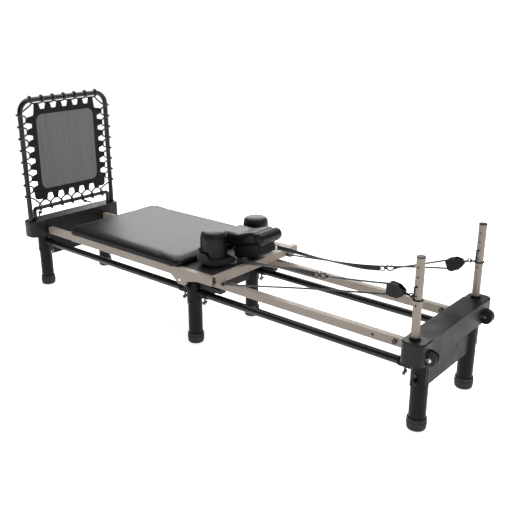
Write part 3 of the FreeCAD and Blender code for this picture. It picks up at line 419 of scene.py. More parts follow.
NODE_MATERIALS = {
    "frame_bolts": "dark_steel", "carriage_bolts": "dark_steel", "roller_axles": "dark_steel",
    "riser_clips": "black_paint", "beam_left": "beam_paint", "beam_right": "beam_paint",
    "carriage_deck": "deck",
    "sheave_near": "black_plastic", "sheave_far": "black_plastic",
}
for item in frame["record"]["subparts"]:
    name = item["node"]
    slot = NODE_MATERIALS.get(name, item["material_slot"])
    for place in frame["nodes"][name].material_slots:
        place.material = MATERIALS[slot]


# ---------------------------------------------------------------- mesh helpers

def new_object(name, mesh, material):
    """A piece in the scene with one of the named materials."""
    piece = bpy.data.objects.new(name, mesh)
    bpy.context.collection.objects.link(piece)
    mesh.materials.append(MATERIALS[material])
    return piece


def from_bmesh(name, form, material):
    """A smooth-shaded piece from a finished form."""
    mesh = bpy.data.meshes.new(name)
    form.to_mesh(mesh)
    form.free()
    for face in mesh.polygons:
        face.use_smooth = True
    return new_object(name, mesh, material)


def apply_modifiers(piece):
    """Makes the modified shape the piece's own."""
    bpy.context.view_layer.update()
    graph = bpy.context.evaluated_depsgraph_get()
    done = bpy.data.meshes.new_from_object(piece.evaluated_get(graph))
    piece.modifiers.clear()
    piece.data = done
    return piece


def nurbs(name, points, cyclic=False):
    """A smooth spline that has the given points as its control points."""
    curve = bpy.data.curves.new(name, "CURVE")
    curve.dimensions = "3D"
    curve.resolution_u = 10
    spline = curve.splines.new("NURBS")
    spline.points.add(len(points) - 1)
    for point, place in zip(spline.points, points):
        point.co = (*place, 1)
    spline.order_u = 3
    spline.use_cyclic_u = cyclic
    spline.use_endpoint_u = not cyclic
    return curve


def line_of(points, cyclic=False):
    """Points along the spline, close together."""
    curve = nurbs("line", points, cyclic)
    holder = bpy.data.objects.new("line", curve)
    mesh = bpy.data.meshes.new_from_object(holder)
    line = [v.co.copy() for v in mesh.vertices]
    bpy.data.objects.remove(holder)
    return line


def frames_along(line, cyclic=False, up=Vector((0, 0, 1))):
    """A tangent, a side and a top direction at each point, without twist."""
    count = len(line)
    frames = []
    for i in range(count):
        before = line[i - 1] if (i or cyclic) else line[0]
        after = line[(i + 1) % count] if (i < count - 1 or cyclic) else line[-1]
        tangent = (after - before).normalized()
        side = tangent.cross(up)
        if side.length < 1e-4:
            side = tangent.cross(Vector((1, 0, 0)))
        side.normalize()
        if frames and side.dot(frames[-1][1]) < 0:
            side = -side
        frames.append((tangent, side, side.cross(tangent).normalized()))
    return frames


def uv_skin(form, uv, rings, along, across, lids=True):
    """Quads from ring to ring, whose UVs are the lengths along and across. Open ends get a lid."""
    for i in range(len(along) - 1):
        following = rings[(i + 1) % len(rings)]
        for k in range(len(across) - 1):
            other = (k + 1) % len(rings[i])
            face = form.faces.new((rings[i][k], rings[i][other], following[other], following[k]))
            corners = ((along[i], across[k]), (along[i], across[k + 1]),
                       (along[i + 1], across[k + 1]), (along[i + 1], across[k]))
            for loop, place in zip(face.loops, corners):
                loop[uv].uv = place
    if lids:
        form.faces.new(rings[0][::-1])
        form.faces.new(rings[-1])
    bmesh.ops.recalc_face_normals(form, faces=form.faces)


def reaches(line, cyclic=False):
    """How far each point lies along a line; a closed line's full length comes last."""
    found = [0.0]
    for before, after in zip(line, line[1:] + line[:1] * cyclic):
        found.append(found[-1] + (after - before).length)
    return found


def sweep(name, line, section, material, cyclic=False, up=Vector((0, 0, 1))):
    """A section (side, top offsets) carried along a line, with UVs in metres along it."""
    form = bmesh.new()
    uv = form.loops.layers.uv.new("UVMap")
    rings = []
    for place, (_, side, top) in zip(line, frames_along(line, cyclic, up)):
        rings.append([form.verts.new(place + side * a + top * b) for a, b in section])
    across = [k / len(section) for k in range(len(section) + 1)]
    uv_skin(form, uv, rings, reaches(line, cyclic), across, lids=not cyclic)
    for face in form.faces:
        face.smooth = len(face.verts) == 4
    mesh = bpy.data.meshes.new(name)
    form.to_mesh(mesh)
    form.free()
    return new_object(name, mesh, material)


def circle_section(radius, count=12):
    """The corners of a round section."""
    return [(radius * math.cos(2 * math.pi * k / count), radius * math.sin(2 * math.pi * k / count))
            for k in range(count)]


def strap_section(width, thick, edge=0.3):
    """A flat strap's section with rounded edges."""
    half = width / 2
    rise = thick / 2
    lower = [(-half, -rise * edge), (-half + rise, -rise), (0, -rise), (half - rise, -rise),
             (half, -rise * edge)]
    return lower + [(a, -b) for a, b in reversed(lower)]


def skin(form, rings):
    """Faces between each ring and the next, and a lid on both ends."""
    for under, over in zip(rings, rings[1:]):
        for k in range(len(under)):
            other = (k + 1) % len(under)
            form.faces.new((under[k], under[other], over[other], over[k]))
    form.faces.new(rings[0][::-1])
    form.faces.new(rings[-1])
    bmesh.ops.recalc_face_normals(form, faces=form.faces)


def lathe(name, profile, at, axis, material, steps=40):
    """A profile of (radius, height) turned about an axis."""
    form = bmesh.new()
    turn = Vector(axis).normalized().to_track_quat("Z", "Y").to_matrix()
    rings = []
    for radius, height in profile:
        ring = []
        for k in range(steps):
            angle = 2 * math.pi * k / steps
            ring.append(form.verts.new(Vector(at) + turn @ Vector(
                (radius * math.cos(angle), radius * math.sin(angle), height))))
        rings.append(ring)
    skin(form, rings)
    return from_bmesh(name, form, material)


def mirrored(profile):
    """A lathe profile given up to its middle, with the same shape above."""
    return profile + [(radius, -height) for radius, height in reversed(profile) if height]


def join_pieces(name, pieces):
    """Several pieces in the same material group become one object."""
    form = bmesh.new()
    slots = []
    for piece in pieces:
        shift = {}
        for index, material in enumerate(piece.data.materials):
            if material not in slots:
                slots.append(material)
            shift[index] = slots.index(material)
        for face in piece.data.polygons:
            face.material_index = shift.get(face.material_index, 0)
        piece.data.transform(piece.matrix_world)
        form.from_mesh(piece.data)
    mesh = bpy.data.meshes.new(name)
    form.to_mesh(mesh)
    form.free()
    for material in slots:
        mesh.materials.append(material)
    for piece in pieces:
        bpy.data.objects.remove(piece)
    whole = bpy.data.objects.new(name, mesh)
    bpy.context.collection.objects.link(whole)
    return whole


# ---------------------------------------------------------------- ropes

GROOVE = 0.019
ROPE_DIAMETER = 0.007
STRAP_WIDTH = 0.02
STRAP_THICK = 0.0024
STRAP_TURN = 48     # degrees, halfway along
HOOK_CLEARANCE = 0.0012
ROPE_LEAD = 0.042   # from a corner of the sheave's turn to the next control point


def tangent_normal(centre, point, outward):
    """The normal, at the groove, of the tangent line that comes from a point."""
    towards = centre - Vector(point)
    slope = GROOVE / towards.length
    towards.normalize()
    outward = (outward - towards * outward.dot(towards)).normalized()
    return outward * math.sqrt(1 - slope ** 2) - towards * slope


def rope_points(spec):
    """From the carriage along the low strand, round the sheave and back to the hook."""
    centre = Vector(spec["sheave"])
    heading = (Vector(spec["ring"]) - centre).normalized()
    below = tangent_normal(centre, spec["low"][-1], Vector((0, 0, -1)))
    above = tangent_normal(centre, spec["high"], Vector((0, 0, 1)))
    first, second = [centre + (normal + heading) * (GROOVE / (1 + normal.dot(heading)))
                     for normal in (below, above)]
    low_lead = first + (Vector(spec["low"][-1]) - first).normalized() * ROPE_LEAD
    high_lead = second + (Vector(spec["high"]) - second).normalized() * ROPE_LEAD
    tip = Vector(spec["tip"])
    end = tip + (Vector(spec["high"]) - tip).normalized() * 0.0008
    return [Vector(spec["anchor"]), *map(Vector, spec["low"]), low_lead, first, second, high_lead,
            Vector(spec["high"]), end]


ROPES = {
    "near": dict(anchor=(0.2188, -0.240, 0.343), low=[(0.393, -0.236, 0.379), (0.640, -0.231, 0.432)],
                 sheave=(0.997, -0.220, 0.517), ring=(1.068, -0.226, 0.515), high=(0.850, -0.200, 0.506),
                 tip=(0.692, -0.171, 0.475), last=1.0154),
    "far": dict(anchor=(0.2188, 0.200, 0.358),
                low=[(0.389, 0.207, 0.372), (0.560, 0.214, 0.386),
                     (0.700, 0.219, 0.408), (0.850, 0.225, 0.440)],
                sheave=(1.004, 0.230, 0.487), ring=(1.068, 0.2344, 0.515), high=(0.885, 0.219, 0.463),
                tip=(0.775, 0.205, 0.424), last=1.022),
}
STRAPS = {
    "near": [(0.158, -0.084, 0.393), (0.210, -0.092, 0.399), (0.262, -0.100, 0.408), (0.340, -0.113, 0.421),
             (0.440, -0.130, 0.438), (0.535, -0.146, 0.454), (0.618, -0.159, 0.462)],
    "far": [(0.206, 0.141, 0.404), (0.250, 0.147, 0.402), (0.330, 0.157, 0.397), (0.440, 0.169, 0.392),
            (0.560, 0.183, 0.392), (0.640, 0.190, 0.396), (0.700, 0.197, 0.405)],
}


def make_rope(side):
    """The rope that leaves the carriage, turns round the pulley and ends at the snap hook."""
    spec = ROPES[side]
    line = line_of(rope_points(spec))
    rope = sweep("rope_braid_" + side, line, circle_section(ROPE_DIAMETER / 2), "rope")
    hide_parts("rope_" + side)
    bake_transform(rope)


for side in ROPES:
    make_rope(side)


def strap_ribbon(side):
    """A flat webbing strap, on edge at both ends and turned over between them."""
    points = [Vector(place) for place in STRAPS[side]]
    points[-1] = points[-1] - (points[-1] - points[-2]).normalized() * HOOK_CLEARANCE
    line = line_of(points)
    form = bmesh.new()
    uv = form.loops.layers.uv.new("UVMap")
    section = strap_section(STRAP_WIDTH, STRAP_THICK)
    rings = []
    reach = reaches(line)
    for place, far, (_, across, up) in zip(line, reach, frames_along(line)):
        turn = math.radians(90 - STRAP_TURN * math.sin(math.pi * far / reach[-1]) ** 2)
        flat = across * math.cos(turn) + up * math.sin(turn)
        normal = up * math.cos(turn) - across * math.sin(turn)
        rings.append([form.verts.new(place + flat * a + normal * b) for a, b in section])
    uv_skin(form, uv, rings, reach, [a for a, _ in section + section[:1]])
    strap = from_bmesh("strap_webbing_" + side, form, "webbing")
    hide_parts("strap_" + side)
    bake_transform(strap)
    tuple(line[0])


for side in STRAPS:
    strap_ribbon(side)


# ---------------------------------------------------------------- handle loops

REST_AT = {"near": Vector((0.070, -0.142, 0)), "far": Vector((0.070, 0.142, 0))}
REST_RADIUS = 0.061
LOOP_LOW = 0.3855


def ring_frame(side):
    """Where a strap starts and the way it runs."""
    points = [Vector(place) for place in STRAPS[side][:2]]
    return points[0], (points[1] - points[0]).normalized()


def handle_loop(side):
    """A webbing loop round the shoulder rest, drawn to its D-ring, with a padded grip behind."""
    start, heading = ring_frame(side)
    centre = REST_AT[side]
    knot = start - heading * 0.0265
    away = Vector((knot.x - centre.x, knot.y - centre.y, 0))
    bearing = math.atan2(away.y, away.x)
    radius = REST_RADIUS + 0.0045
    tangent = math.acos(min(1, radius / away.length))
    form = bmesh.new()
    uv = form.loops.layers.uv.new("UVMap")
    steps = 144
    thin = 0.0028
    rings = []
    for i in range(steps):
        angle = 2 * math.pi * i / steps - math.pi
        size = abs(angle)
        grip = min(1, max(0, (size - 1.75) / 0.45))
        grip = grip * grip * (3 - 2 * grip)
        thick = thin + 0.0062 * grip
        width = 0.025 + 0.023 * grip
        pulled = radius / math.cos(max(0, tangent - size)) + (thick - thin) / 2
        near_ring = max(0, 1 - size / max(tangent, 0.3))
        middle = LOOP_LOW + width / 2 + 0.006 * grip
        middle += (knot.z - middle) * near_ring
        out = Vector((math.cos(bearing + angle), math.sin(bearing + angle), 0))
        lean = Vector((0, 0, 1)) + out * (0.10 * grip)
        section = strap_section(width, thick, 0.6 - 0.3 * grip)
        rings.append([form.verts.new(Vector((centre.x, centre.y, middle)) + out * (pulled + b) + lean * a)
                      for a, b in section])
    along = [i * 2 * math.pi * radius / steps for i in range(steps + 1)]
    uv_skin(form, uv, rings, along, [0.0025 * k for k in range(11)], lids=False)
    loop = from_bmesh("handle_loop_" + side, form, "webbing")
    soft = loop.modifiers.new("soft", "SUBSURF")
    soft.levels = soft.render_levels = 1
    return loop


def d_ring(side):
    """A bright D-ring: a bow and a straight bar."""
    start, heading = ring_frame(side)
    centre = start - heading * 0.0145
    up = (Vector((0, 0, 1)) - heading * heading.z).normalized()
    line = []
    for k in range(28):
        angle = math.pi * 0.5 + math.pi * k / 27
        line.append(centre + heading * (0.012 * math.cos(angle)) + up * (0.0125 * math.sin(angle)))
    line += [centre + heading * 0.006 - up * 0.0125, centre + heading * 0.0105 - up * 0.0115,
             centre + heading * 0.012 - up * 0.008, centre + heading * 0.012,
             centre + heading * 0.012 + up * 0.008,
             centre + heading * 0.0105 + up * 0.0115, centre + heading * 0.006 + up * 0.0125]
    across = heading.cross(up).normalized()
    return sweep("d_ring_" + side, line, circle_section(0.0026, 12), "chrome", cyclic=True, up=across)


def strap_fold(name, at, up, length=0.021, radius=0.0046):
    """The sewn fold of a strap round a ring's wire."""
    profile = mirrored([(radius * 0.6, -length / 2), (radius, -length / 2 + 0.001)])
    return lathe(name, profile, at, up, "webbing", 20)


for side in STRAPS:
    start, heading = ring_frame(side)
    up = (Vector((0, 0, 1)) - heading * heading.z).normalized()
    loop = handle_loop(side)
    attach(loop, "carriage")
    ring = d_ring(side)
    folds = join_pieces("strap_folds_" + side, [
        strap_fold("fold", start - heading * 0.0022, up),
        strap_fold("fold", start - heading * 0.0268, up, 0.023),
    ])
    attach(ring, "carriage")
    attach(folds, "carriage")
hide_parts("handle_loops")


# ---------------------------------------------------------------- soft goods

def inflate(piece, voxel, cap, pressure=4.0, hold=None):
    """Lets a closed form swell like stuffed vinyl, each point by no more than the cap."""
    remesh = piece.modifiers.new("remesh", "REMESH")
    remesh.mode = "VOXEL"
    remesh.voxel_size = voxel
    apply_modifiers(piece)
    smooth = piece.modifiers.new("smooth", "SMOOTH")
    smooth.factor = 0.5
    smooth.iterations = 4
    apply_modifiers(piece)
    before = [v.co.copy() for v in piece.data.vertices]
    cloth = piece.modifiers.new("cloth", "CLOTH")
    cloth.settings.quality = 4
    cloth.settings.mass = 0.25
    cloth.settings.use_pressure = True
    cloth.settings.uniform_pressure_force = pressure
    cloth.settings.effector_weights.gravity = 0
    cloth.settings.tension_stiffness = 18
    cloth.settings.compression_stiffness = 18
    cloth.settings.bending_stiffness = 0.8
    cloth.collision_settings.use_collision = False
    for number in range(1, 21):
        bpy.context.scene.frame_set(number)
    graph = bpy.context.evaluated_depsgraph_get()
    after = [v.co.copy() for v in piece.evaluated_get(graph).data.vertices]
    piece.modifiers.clear()
    bpy.context.scene.frame_set(1)
    for vertex, start, end in zip(piece.data.vertices, before, after):
        move = end - start
        if move.length > cap:
            move *= cap / move.length
        vertex.co = start + move
    if hold is not None:
        for vertex in piece.data.vertices:
            vertex.co = hold(vertex.co)
    smooth = piece.modifiers.new("smooth", "SMOOTH")
    smooth.factor = 0.5
    smooth.iterations = 3
    divide = piece.modifiers.new("divide", "SUBSURF")
    divide.levels = divide.render_levels = 1
    apply_modifiers(piece)
    for face in piece.data.polygons:
        face.use_smooth = True
    return piece


def press_in(piece, distance, width, depth):
    """A sewn groove: points near the line that the distance names are drawn in."""
    normals = [v.normal.copy() for v in piece.data.vertices]
    for vertex, normal in zip(piece.data.vertices, normals):
        gap = distance(vertex.co)
        if gap < 3 * width:
            vertex.co -= normal * depth * math.exp(-(gap / width) ** 2)


def rounded_outline(low, high, radius, steps=10):
    """A rectangle in plan with rounded corners."""
    corners = ((high.x - radius, high.y - radius, 0), (low.x + radius, high.y - radius, 90),
               (low.x + radius, low.y + radius, 180), (high.x - radius, low.y + radius, 270))
    outline = []
    for x, y, first in corners:
        for k in range(steps + 1):
            angle = math.radians(first + 90 * k / steps)
            outline.append(Vector((x + radius * math.cos(angle), y + radius * math.sin(angle), 0)))
    return outline


def layered_form(name, low, high, radius, layers, material):
    """A closed form from inset and height pairs of one rounded outline."""
    form = bmesh.new()
    rings = []
    for inset, height in layers:
        outline = rounded_outline(low + Vector((inset, inset, 0)), high - Vector((inset, inset, 0)),
                                  max(0.004, radius - inset))
        rings.append([form.verts.new(place + Vector((0, 0, height))) for place in outline])
    skin(form, rings)
    return from_bmesh(name, form, material)


def make_mattress():
    """The flat mattress: a thick rolled edge with a welt low on its side."""
    low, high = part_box("pad")
    base = low.z
    low = Vector((low.x - 0.006, low.y - 0.005, 0))
    high = Vector((high.x, high.y + 0.005, 0))
    layers = [(0.014, base + 0.0003), (0.005, base + 0.001), (0.001, base + 0.005), (0, base + 0.011),
              (0.002, base + 0.018), (0.007, base + 0.024), (0.016, base + 0.0290), (0.030, base + 0.0320),
              (0.05, base + 0.0335)]
    pad = layered_form("mattress", low, high, 0.045, layers, "black_vinyl")
    middle = (low + high) / 2
    half = (high - low) / 2

    def hold(place):
        edge = max(abs(place.x - middle.x) / half.x, abs(place.y - middle.y) / half.y)
        crown = 0.002 * max(0, 1 - edge ** 4)
        if place.z > base + 0.02:
            place.z += crown + 0.0006 * noise.noise(Vector((place.x * 3.5, place.y * 3.5, 0.7)))
        place.z = min(place.z, base + 0.043)
        place.x = min(max(place.x, low.x - 0.001), high.x + 0.001)
        place.y = min(max(place.y, low.y - 0.001), high.y + 0.001)
        place.z = max(place.z, base + 0.0003)
        return place

    inflate(pad, 0.006, 0.005, 4.0, hold)
    bar_face, overhang_width, droop = 0.2808, 0.009, 0.011
    for vertex in pad.data.vertices:
        overhang = min(1, max(0, (abs(vertex.co.y) - bar_face) / overhang_width))
        vertex.co.z -= droop * overhang * (2 - overhang)
    seam = base + 0.0085
    press_in(pad, lambda place: abs(place.z - seam + 0.010 * (abs(place.y) > 0.285)), 0.0018, 0.0014)
    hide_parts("pad")
    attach(pad, "carriage")


def make_shoulder_rest(side):
    """A stuffed cylinder with a domed top, a piped rim and a seam above its base."""
    low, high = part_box("shoulder_pads")
    centre = REST_AT[side]
    bottom, top = low.z, high.z
    radius = REST_RADIUS - 0.003
    profile = [(radius * 0.72, bottom + 0.0004), (radius * 0.9, bottom + 0.001),
               (radius * 0.975, bottom + 0.006),
               (radius, bottom + 0.02), (radius, bottom + 0.06), (radius, bottom + 0.11),
               (radius * 0.985, top - 0.028), (radius * 0.94, top - 0.016), (radius * 0.82, top - 0.007),
               (radius * 0.6, top - 0.0035), (radius * 0.3, top - 0.002)]
    rest = lathe("shoulder_rest_" + side, profile, (centre.x, centre.y, 0), (0, 0, 1), "black_vinyl", 64)

    def hold(place):
        flat = Vector((place.x - centre.x, place.y - centre.y))
        most = REST_RADIUS - 0.0002
        if place.z < bottom + 0.032:
            most = REST_RADIUS - 0.0012
        if flat.length > most:
            flat *= most / flat.length
        return Vector((centre.x + flat.x, centre.y + flat.y, min(max(place.z, bottom + 0.0004), top + 0.004)))

    inflate(rest, 0.005, 0.006, 4.0, hold)
    rim = top - 0.018
    press_in(rest, lambda place: abs(place.z - rim), 0.0022, 0.0016)
    press_in(rest, lambda place: abs(place.z - (bottom + 0.034)), 0.0018, 0.0008)
    bead = [centre + Vector((math.cos(t), math.sin(t), 0)) * (radius * 0.968 + 0.0005) + Vector((0, 0, rim))
            for t in [2 * math.pi * k / 72 for k in range(72)]]
    piping = sweep("rest_piping_" + side, bead, circle_section(0.0013, 8), "black_vinyl", cyclic=True)
    for piece in (rest, piping):
        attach(piece, "carriage")
    return rest


HEAD_ORIGIN = Vector((0.106, 0, 0.437))
HEAD_TURN = Matrix.Rotation(math.radians(-16), 4, "Y")
HEAD_HALF = 0.074
HEAD_SIDE = [(0.150, 0.0008), (0.010, 0.0008), (-0.003, 0.010), (-0.089, 0.039), (-0.083, 0.066),
             (-0.046, 0.079), (0.045, 0.0535), (0.134, 0.0545), (0.150, 0.044)]
BOLSTER_X, BOLSTER_Z, BOLSTER_RADIUS = 0.166, 0.021, 0.0265


def softened(corners, spacing=0.0035, passes=7):
    """A closed outline through the corners, evenly spaced, with its corners rounded off."""
    outline = []
    for here, after in zip(corners, corners[1:] + corners[:1]):
        here, after = Vector(here), Vector(after)
        count = max(2, round((after - here).length / spacing))
        outline += [here.lerp(after, k / count) for k in range(count)]
    for _ in range(passes):
        outline = [outline[k - 1] * 0.25 + outline[k] * 0.5 + outline[(k + 1) % len(outline)] * 0.25
                   for k in range(len(outline))]
    return outline


def top_of_head(x):
    """Height of the pad's upper face above the tray, at one distance from the hinge."""
    upper = HEAD_SIDE[5:]
    for (x0, z0), (x1, z1) in zip(upper, upper[1:]):
        if x <= x1:
            return z0 + (z1 - z0) * max(0, x - x0) / (x1 - x0)
    return upper[-1][1]


def make_headrest():
    """A contoured pad with a neck crest at its low end and a bolster at its high end."""
    outline = softened(HEAD_SIDE)
    count = len(outline)
    inward = []
    for k in range(count):
        along = (outline[(k + 1) % count] - outline[k - 1]).normalized()
        inward.append(Vector((along.y, -along.x)))
    form = bmesh.new()
    rings = []
    rounding = 0.010
    side = HEAD_HALF - 0.002
    stations = [-side + rounding * (1 - math.cos(math.pi / 2 * k / 5)) for k in range(6)]
    stations += [-0.05, -0.03, -0.01]
    stations += [-y for y in reversed(stations)]
    for y in stations:
        past = max(0, abs(y) - (side - rounding))
        inset = rounding - math.sqrt(max(0, rounding ** 2 - past ** 2))
        rings.append([form.verts.new((point.x + push.x * inset, y, point.y + push.y * inset))
                      for point, push in zip(outline, inward)])
    skin(form, rings)
    slab = from_bmesh("slab", form, "black_vinyl")
    radius = BOLSTER_RADIUS
    half = HEAD_HALF - 0.001
    profile = mirrored([(radius * 0.4, -half), (radius * 0.75, -half + 0.0012),
                        (radius * 0.93, -half + 0.005), (radius, -half + 0.012), (radius, 0)])
    roll = lathe("roll", profile, (BOLSTER_X, 0, BOLSTER_Z), (0, 1, 0), "black_vinyl", 48)
    pad = join_pieces("headrest_cushion", [slab, roll])
    pad.data.transform(HEAD_TURN)
    pad.data.transform(Matrix.Translation(HEAD_ORIGIN))
    back = (Matrix.Translation(HEAD_ORIGIN) @ HEAD_TURN).inverted()
    forth = back.inverted()

    def hold(place):
        local = back @ place
        local.y = min(max(local.y, -HEAD_HALF - 0.001), HEAD_HALF + 0.001)
        if 0.004 < local.x < 0.1475:
            local.z = max(local.z, 0.0006)
        return forth @ local

    inflate(pad, 0.004, 0.003, 4.0, hold)

    def crease(place):
        local = back @ place
        if local.z < 0.026 or local.x > BOLSTER_X:
            return 1
        return abs(math.hypot(local.x - BOLSTER_X, local.z - BOLSTER_Z) - BOLSTER_RADIUS - 0.001) + max(
            0, local.x - 0.158) * 3

    def side_seam(place):
        local = back @ place
        if local.x > 0.138 or (abs(local.y) < HEAD_HALF - 0.009 and local.x > -0.07):
            return 1
        return abs(local.z - (top_of_head(local.x) - 0.0085))

    def roll_seam(place):
        local = back @ place
        ring = math.hypot(local.x - BOLSTER_X, local.z - BOLSTER_Z)
        return abs(ring - 0.0205) if abs(local.y) > HEAD_HALF - 0.006 and local.x > 0.142 else 1

    press_in(pad, crease, 0.0022, 0.0024)
    press_in(pad, side_seam, 0.0016, 0.0014)
    press_in(pad, roll_seam, 0.0015, 0.0012)
    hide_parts("headrest_pad")
    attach(pad, "headrest")


make_mattress()
rests = [make_shoulder_rest(side) for side in STRAPS]
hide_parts("shoulder_pads")
make_headrest()


# ---------------------------------------------------------------- rebounder

REB_X = -1.126
MAT_HALF = 0.18
MAT_LOW = 0.523
MAT_HIGH = 0.914
MAT_CORNER = 0.038
MAT_SAG = 0.0015
HEM_WIDTH = 0.025
UNDER_HEM = 0.010   # how far the mesh runs on under its hem
POST_Y = 0.268
POST_RADIUS = 0.0127
BAR_Z = 0.99
CROSS_Z = 0.43
CROSS_RADIUS = 0.010
BUNGEE = 0.008
WRAP_PLAY = 0.0003
TAB_STEP_Y = 0.068
TAB_STEP_Z = 0.06
TAB_Y = [-0.17 + TAB_STEP_Y * i for i in range(6)]
TAB_Z = [0.53 + TAB_STEP_Z * i for i in range(7)]
TIE_Y = 0.208       # where a post's cord starts and ends, beside the cross tube and the top bar
TIE_GAP = 0.019
TAB_TO_CORD = 0.0285
TAB_HOLD = 0.007    # the cord lies straight for this far either side of a tab's middle
TAB_REACH = 0.0245
TAB_HALF = 0.0215
TAB_SLOPE = 0.0085
STITCH_PITCH = 0.007


def plane_outline(grow, tabs=0.0):
    """The mat's outline in (y, z), grown outwards, with a rounded tab at each lacing point."""
    half = MAT_HALF + grow
    low, high = MAT_LOW - grow, MAT_HIGH + grow
    corner = MAT_CORNER + grow
    middle = (low + high) / 2

    def share(value, places):
        gap = min(abs(value - place) for place in places)
        part = min(1, max(0, (TAB_HALF - gap) / TAB_SLOPE))
        return part * part * (3 - 2 * part) if tabs else 0

    straight = Vector((half - corner, (high - low) / 2 - corner))
    plain = []
    for sy, sz, first in ((1, 1, 0), (-1, 1, 90), (-1, -1, 180), (1, -1, 270)):
        centre = Vector((sy * straight.x, middle + sz * straight.y))
        for k in range(49):
            angle = math.radians(first + 90 * k / 48)
            plain.append(centre + corner * Vector((math.cos(angle), math.sin(angle))))
    outline = []
    for here, after in zip(plain, plain[1:] + plain[:1]):
        count = max(1, round((after - here).length / 0.003))
        for k in range(count):
            place = here.lerp(after, k / count)
            y, z = place
            if abs(z - middle) > straight.y - 0.004:
                edge = high + tabs if z > middle else low - tabs
                place.y += share(y, TAB_Y) * (edge - z)
            if abs(y) > straight.x - 0.004:
                place.x += share(z, TAB_Z) * (math.copysign(half + tabs, y) - y)
            outline.append(place)
    return outline


def flat_form(name, outlines, thick, material, edge=0.0004):
    """A flat piece in the rebounder's plane: one outline and any windows in it."""
    curve = bpy.data.curves.new(name, "CURVE")
    curve.dimensions = "2D"
    curve.fill_mode = "BOTH"
    curve.extrude = thick / 2 - edge
    curve.bevel_depth = edge
    curve.offset = -edge
    for outline in outlines:
        spline = curve.splines.new("POLY")
        spline.points.add(len(outline) - 1)
        for point, place in zip(spline.points, outline):
            point.co = (place.x, place.y, 0, 1)
        spline.use_cyclic_u = True
    holder = bpy.data.objects.new(name, curve)
    mesh = bpy.data.meshes.new_from_object(holder)
    bpy.data.objects.remove(holder)
    turn = Matrix(((0, 0, 1, REB_X), (1, 0, 0, 0), (0, 1, 0, 0), (0, 0, 0, 1)))
    mesh.transform(turn)
    mesh.materials.clear()
    return new_object(name, mesh, material)


def make_mat():
    """The mesh bed: a woven sheet with a slight sag towards its middle."""
    form = bmesh.new()
    columns, rows = 24, 26
    grid = []
    half = MAT_HALF + UNDER_HEM
    low, high = MAT_LOW - UNDER_HEM, MAT_HIGH + UNDER_HEM
    middle, rise = (low + high) / 2, (high - low) / 2
    corner = MAT_CORNER + UNDER_HEM
    for i in range(columns + 1):
        line = []
        for j in range(rows + 1):
            y = half * (2 * i / columns - 1)
            z = low + (high - low) * j / rows
            dy = max(0, abs(y) - (half - corner))
            dz = max(0, abs(z - middle) - (rise - corner))
            reach = math.hypot(dy, dz)
            if reach > corner:
                y -= math.copysign(dy * (1 - corner / reach), y)
                z -= math.copysign(dz * (1 - corner / reach), z - middle)
            bow = (1 - (y / half) ** 2) * (1 - ((z - middle) / rise) ** 2)
            line.append(form.verts.new((REB_X - MAT_SAG * bow, y, z)))
        grid.append(line)
    for i in range(columns):
        for j in range(rows):
            form.faces.new((grid[i][j], grid[i + 1][j], grid[i + 1][j + 1], grid[i][j + 1]))
    bmesh.ops.remove_doubles(form, verts=form.verts, dist=1e-6)
    mat = from_bmesh("mat_weave", form, "mesh_fabric")
    solid = mat.modifiers.new("thick", "SOLIDIFY")
    solid.thickness = 0.0012
    solid.offset = 0
    apply_modifiers(mat)
    return mat


def make_hem():
    """The folded webbing border with its tabs, and two rows of stitching on both faces."""
    hem = flat_form("mat_hem", [plane_outline(HEM_WIDTH, TAB_REACH), plane_outline(0)], 0.0046, "hem")
    stitches = []
    for grow in (0.004, 0.0205):
        outline = plane_outline(grow)
        line = [Vector((REB_X, place.x, place.y)) for place in outline]
        steps = [(line[(k + 1) % len(line)] - line[k]).length for k in range(len(line))]
        total = sum(steps)
        count = int(total / STITCH_PITCH)
        form = bmesh.new()
        walk = 0
        k = 0
        for number in range(count):
            target = total * number / count
            while walk + steps[k] < target:
                walk += steps[k]
                k += 1
            heading = (line[(k + 1) % len(line)] - line[k]).normalized()
            at = line[k] + heading * (target - walk)
            for face in (-1, 1):
                across = heading.cross(Vector((1, 0, 0))).normalized()
                lifted = at + Vector((face * 0.0025, 0, 0))
                corners = []
                for a, b in ((-0.0022, 0), (0, -0.0004), (0.0022, 0), (0, 0.0004)):
                    corners.append(form.verts.new(lifted + heading * a + across * b))
                peak = form.verts.new(lifted + Vector((face * 0.0003, 0, 0)))
                for c in range(4):
                    form.faces.new((corners[c], corners[(c + 1) % 4], peak))
        stitches.append(from_bmesh("stitch", form, "thread"))
    stitching = join_pieces("hem_stitching", stitches)
    return hem, stitching


def wrap_points(along, middle, sign, radius, upright):
    """The four points of one turn round a post or a bar of the frame."""
    reach = radius + BUNGEE / 2 + WRAP_PLAY
    points = []
    for front, out, shift in ((1, -sign * 0.014, -0.003), (1, sign * reach, -0.001),
                              (-1, sign * reach, 0.001), (-1, -sign * 0.014, 0.003)):
        y, z = (middle + out, along + shift) if upright else (along + shift, middle + out)
        points.append((REB_X + front * reach, y, z))
    return points


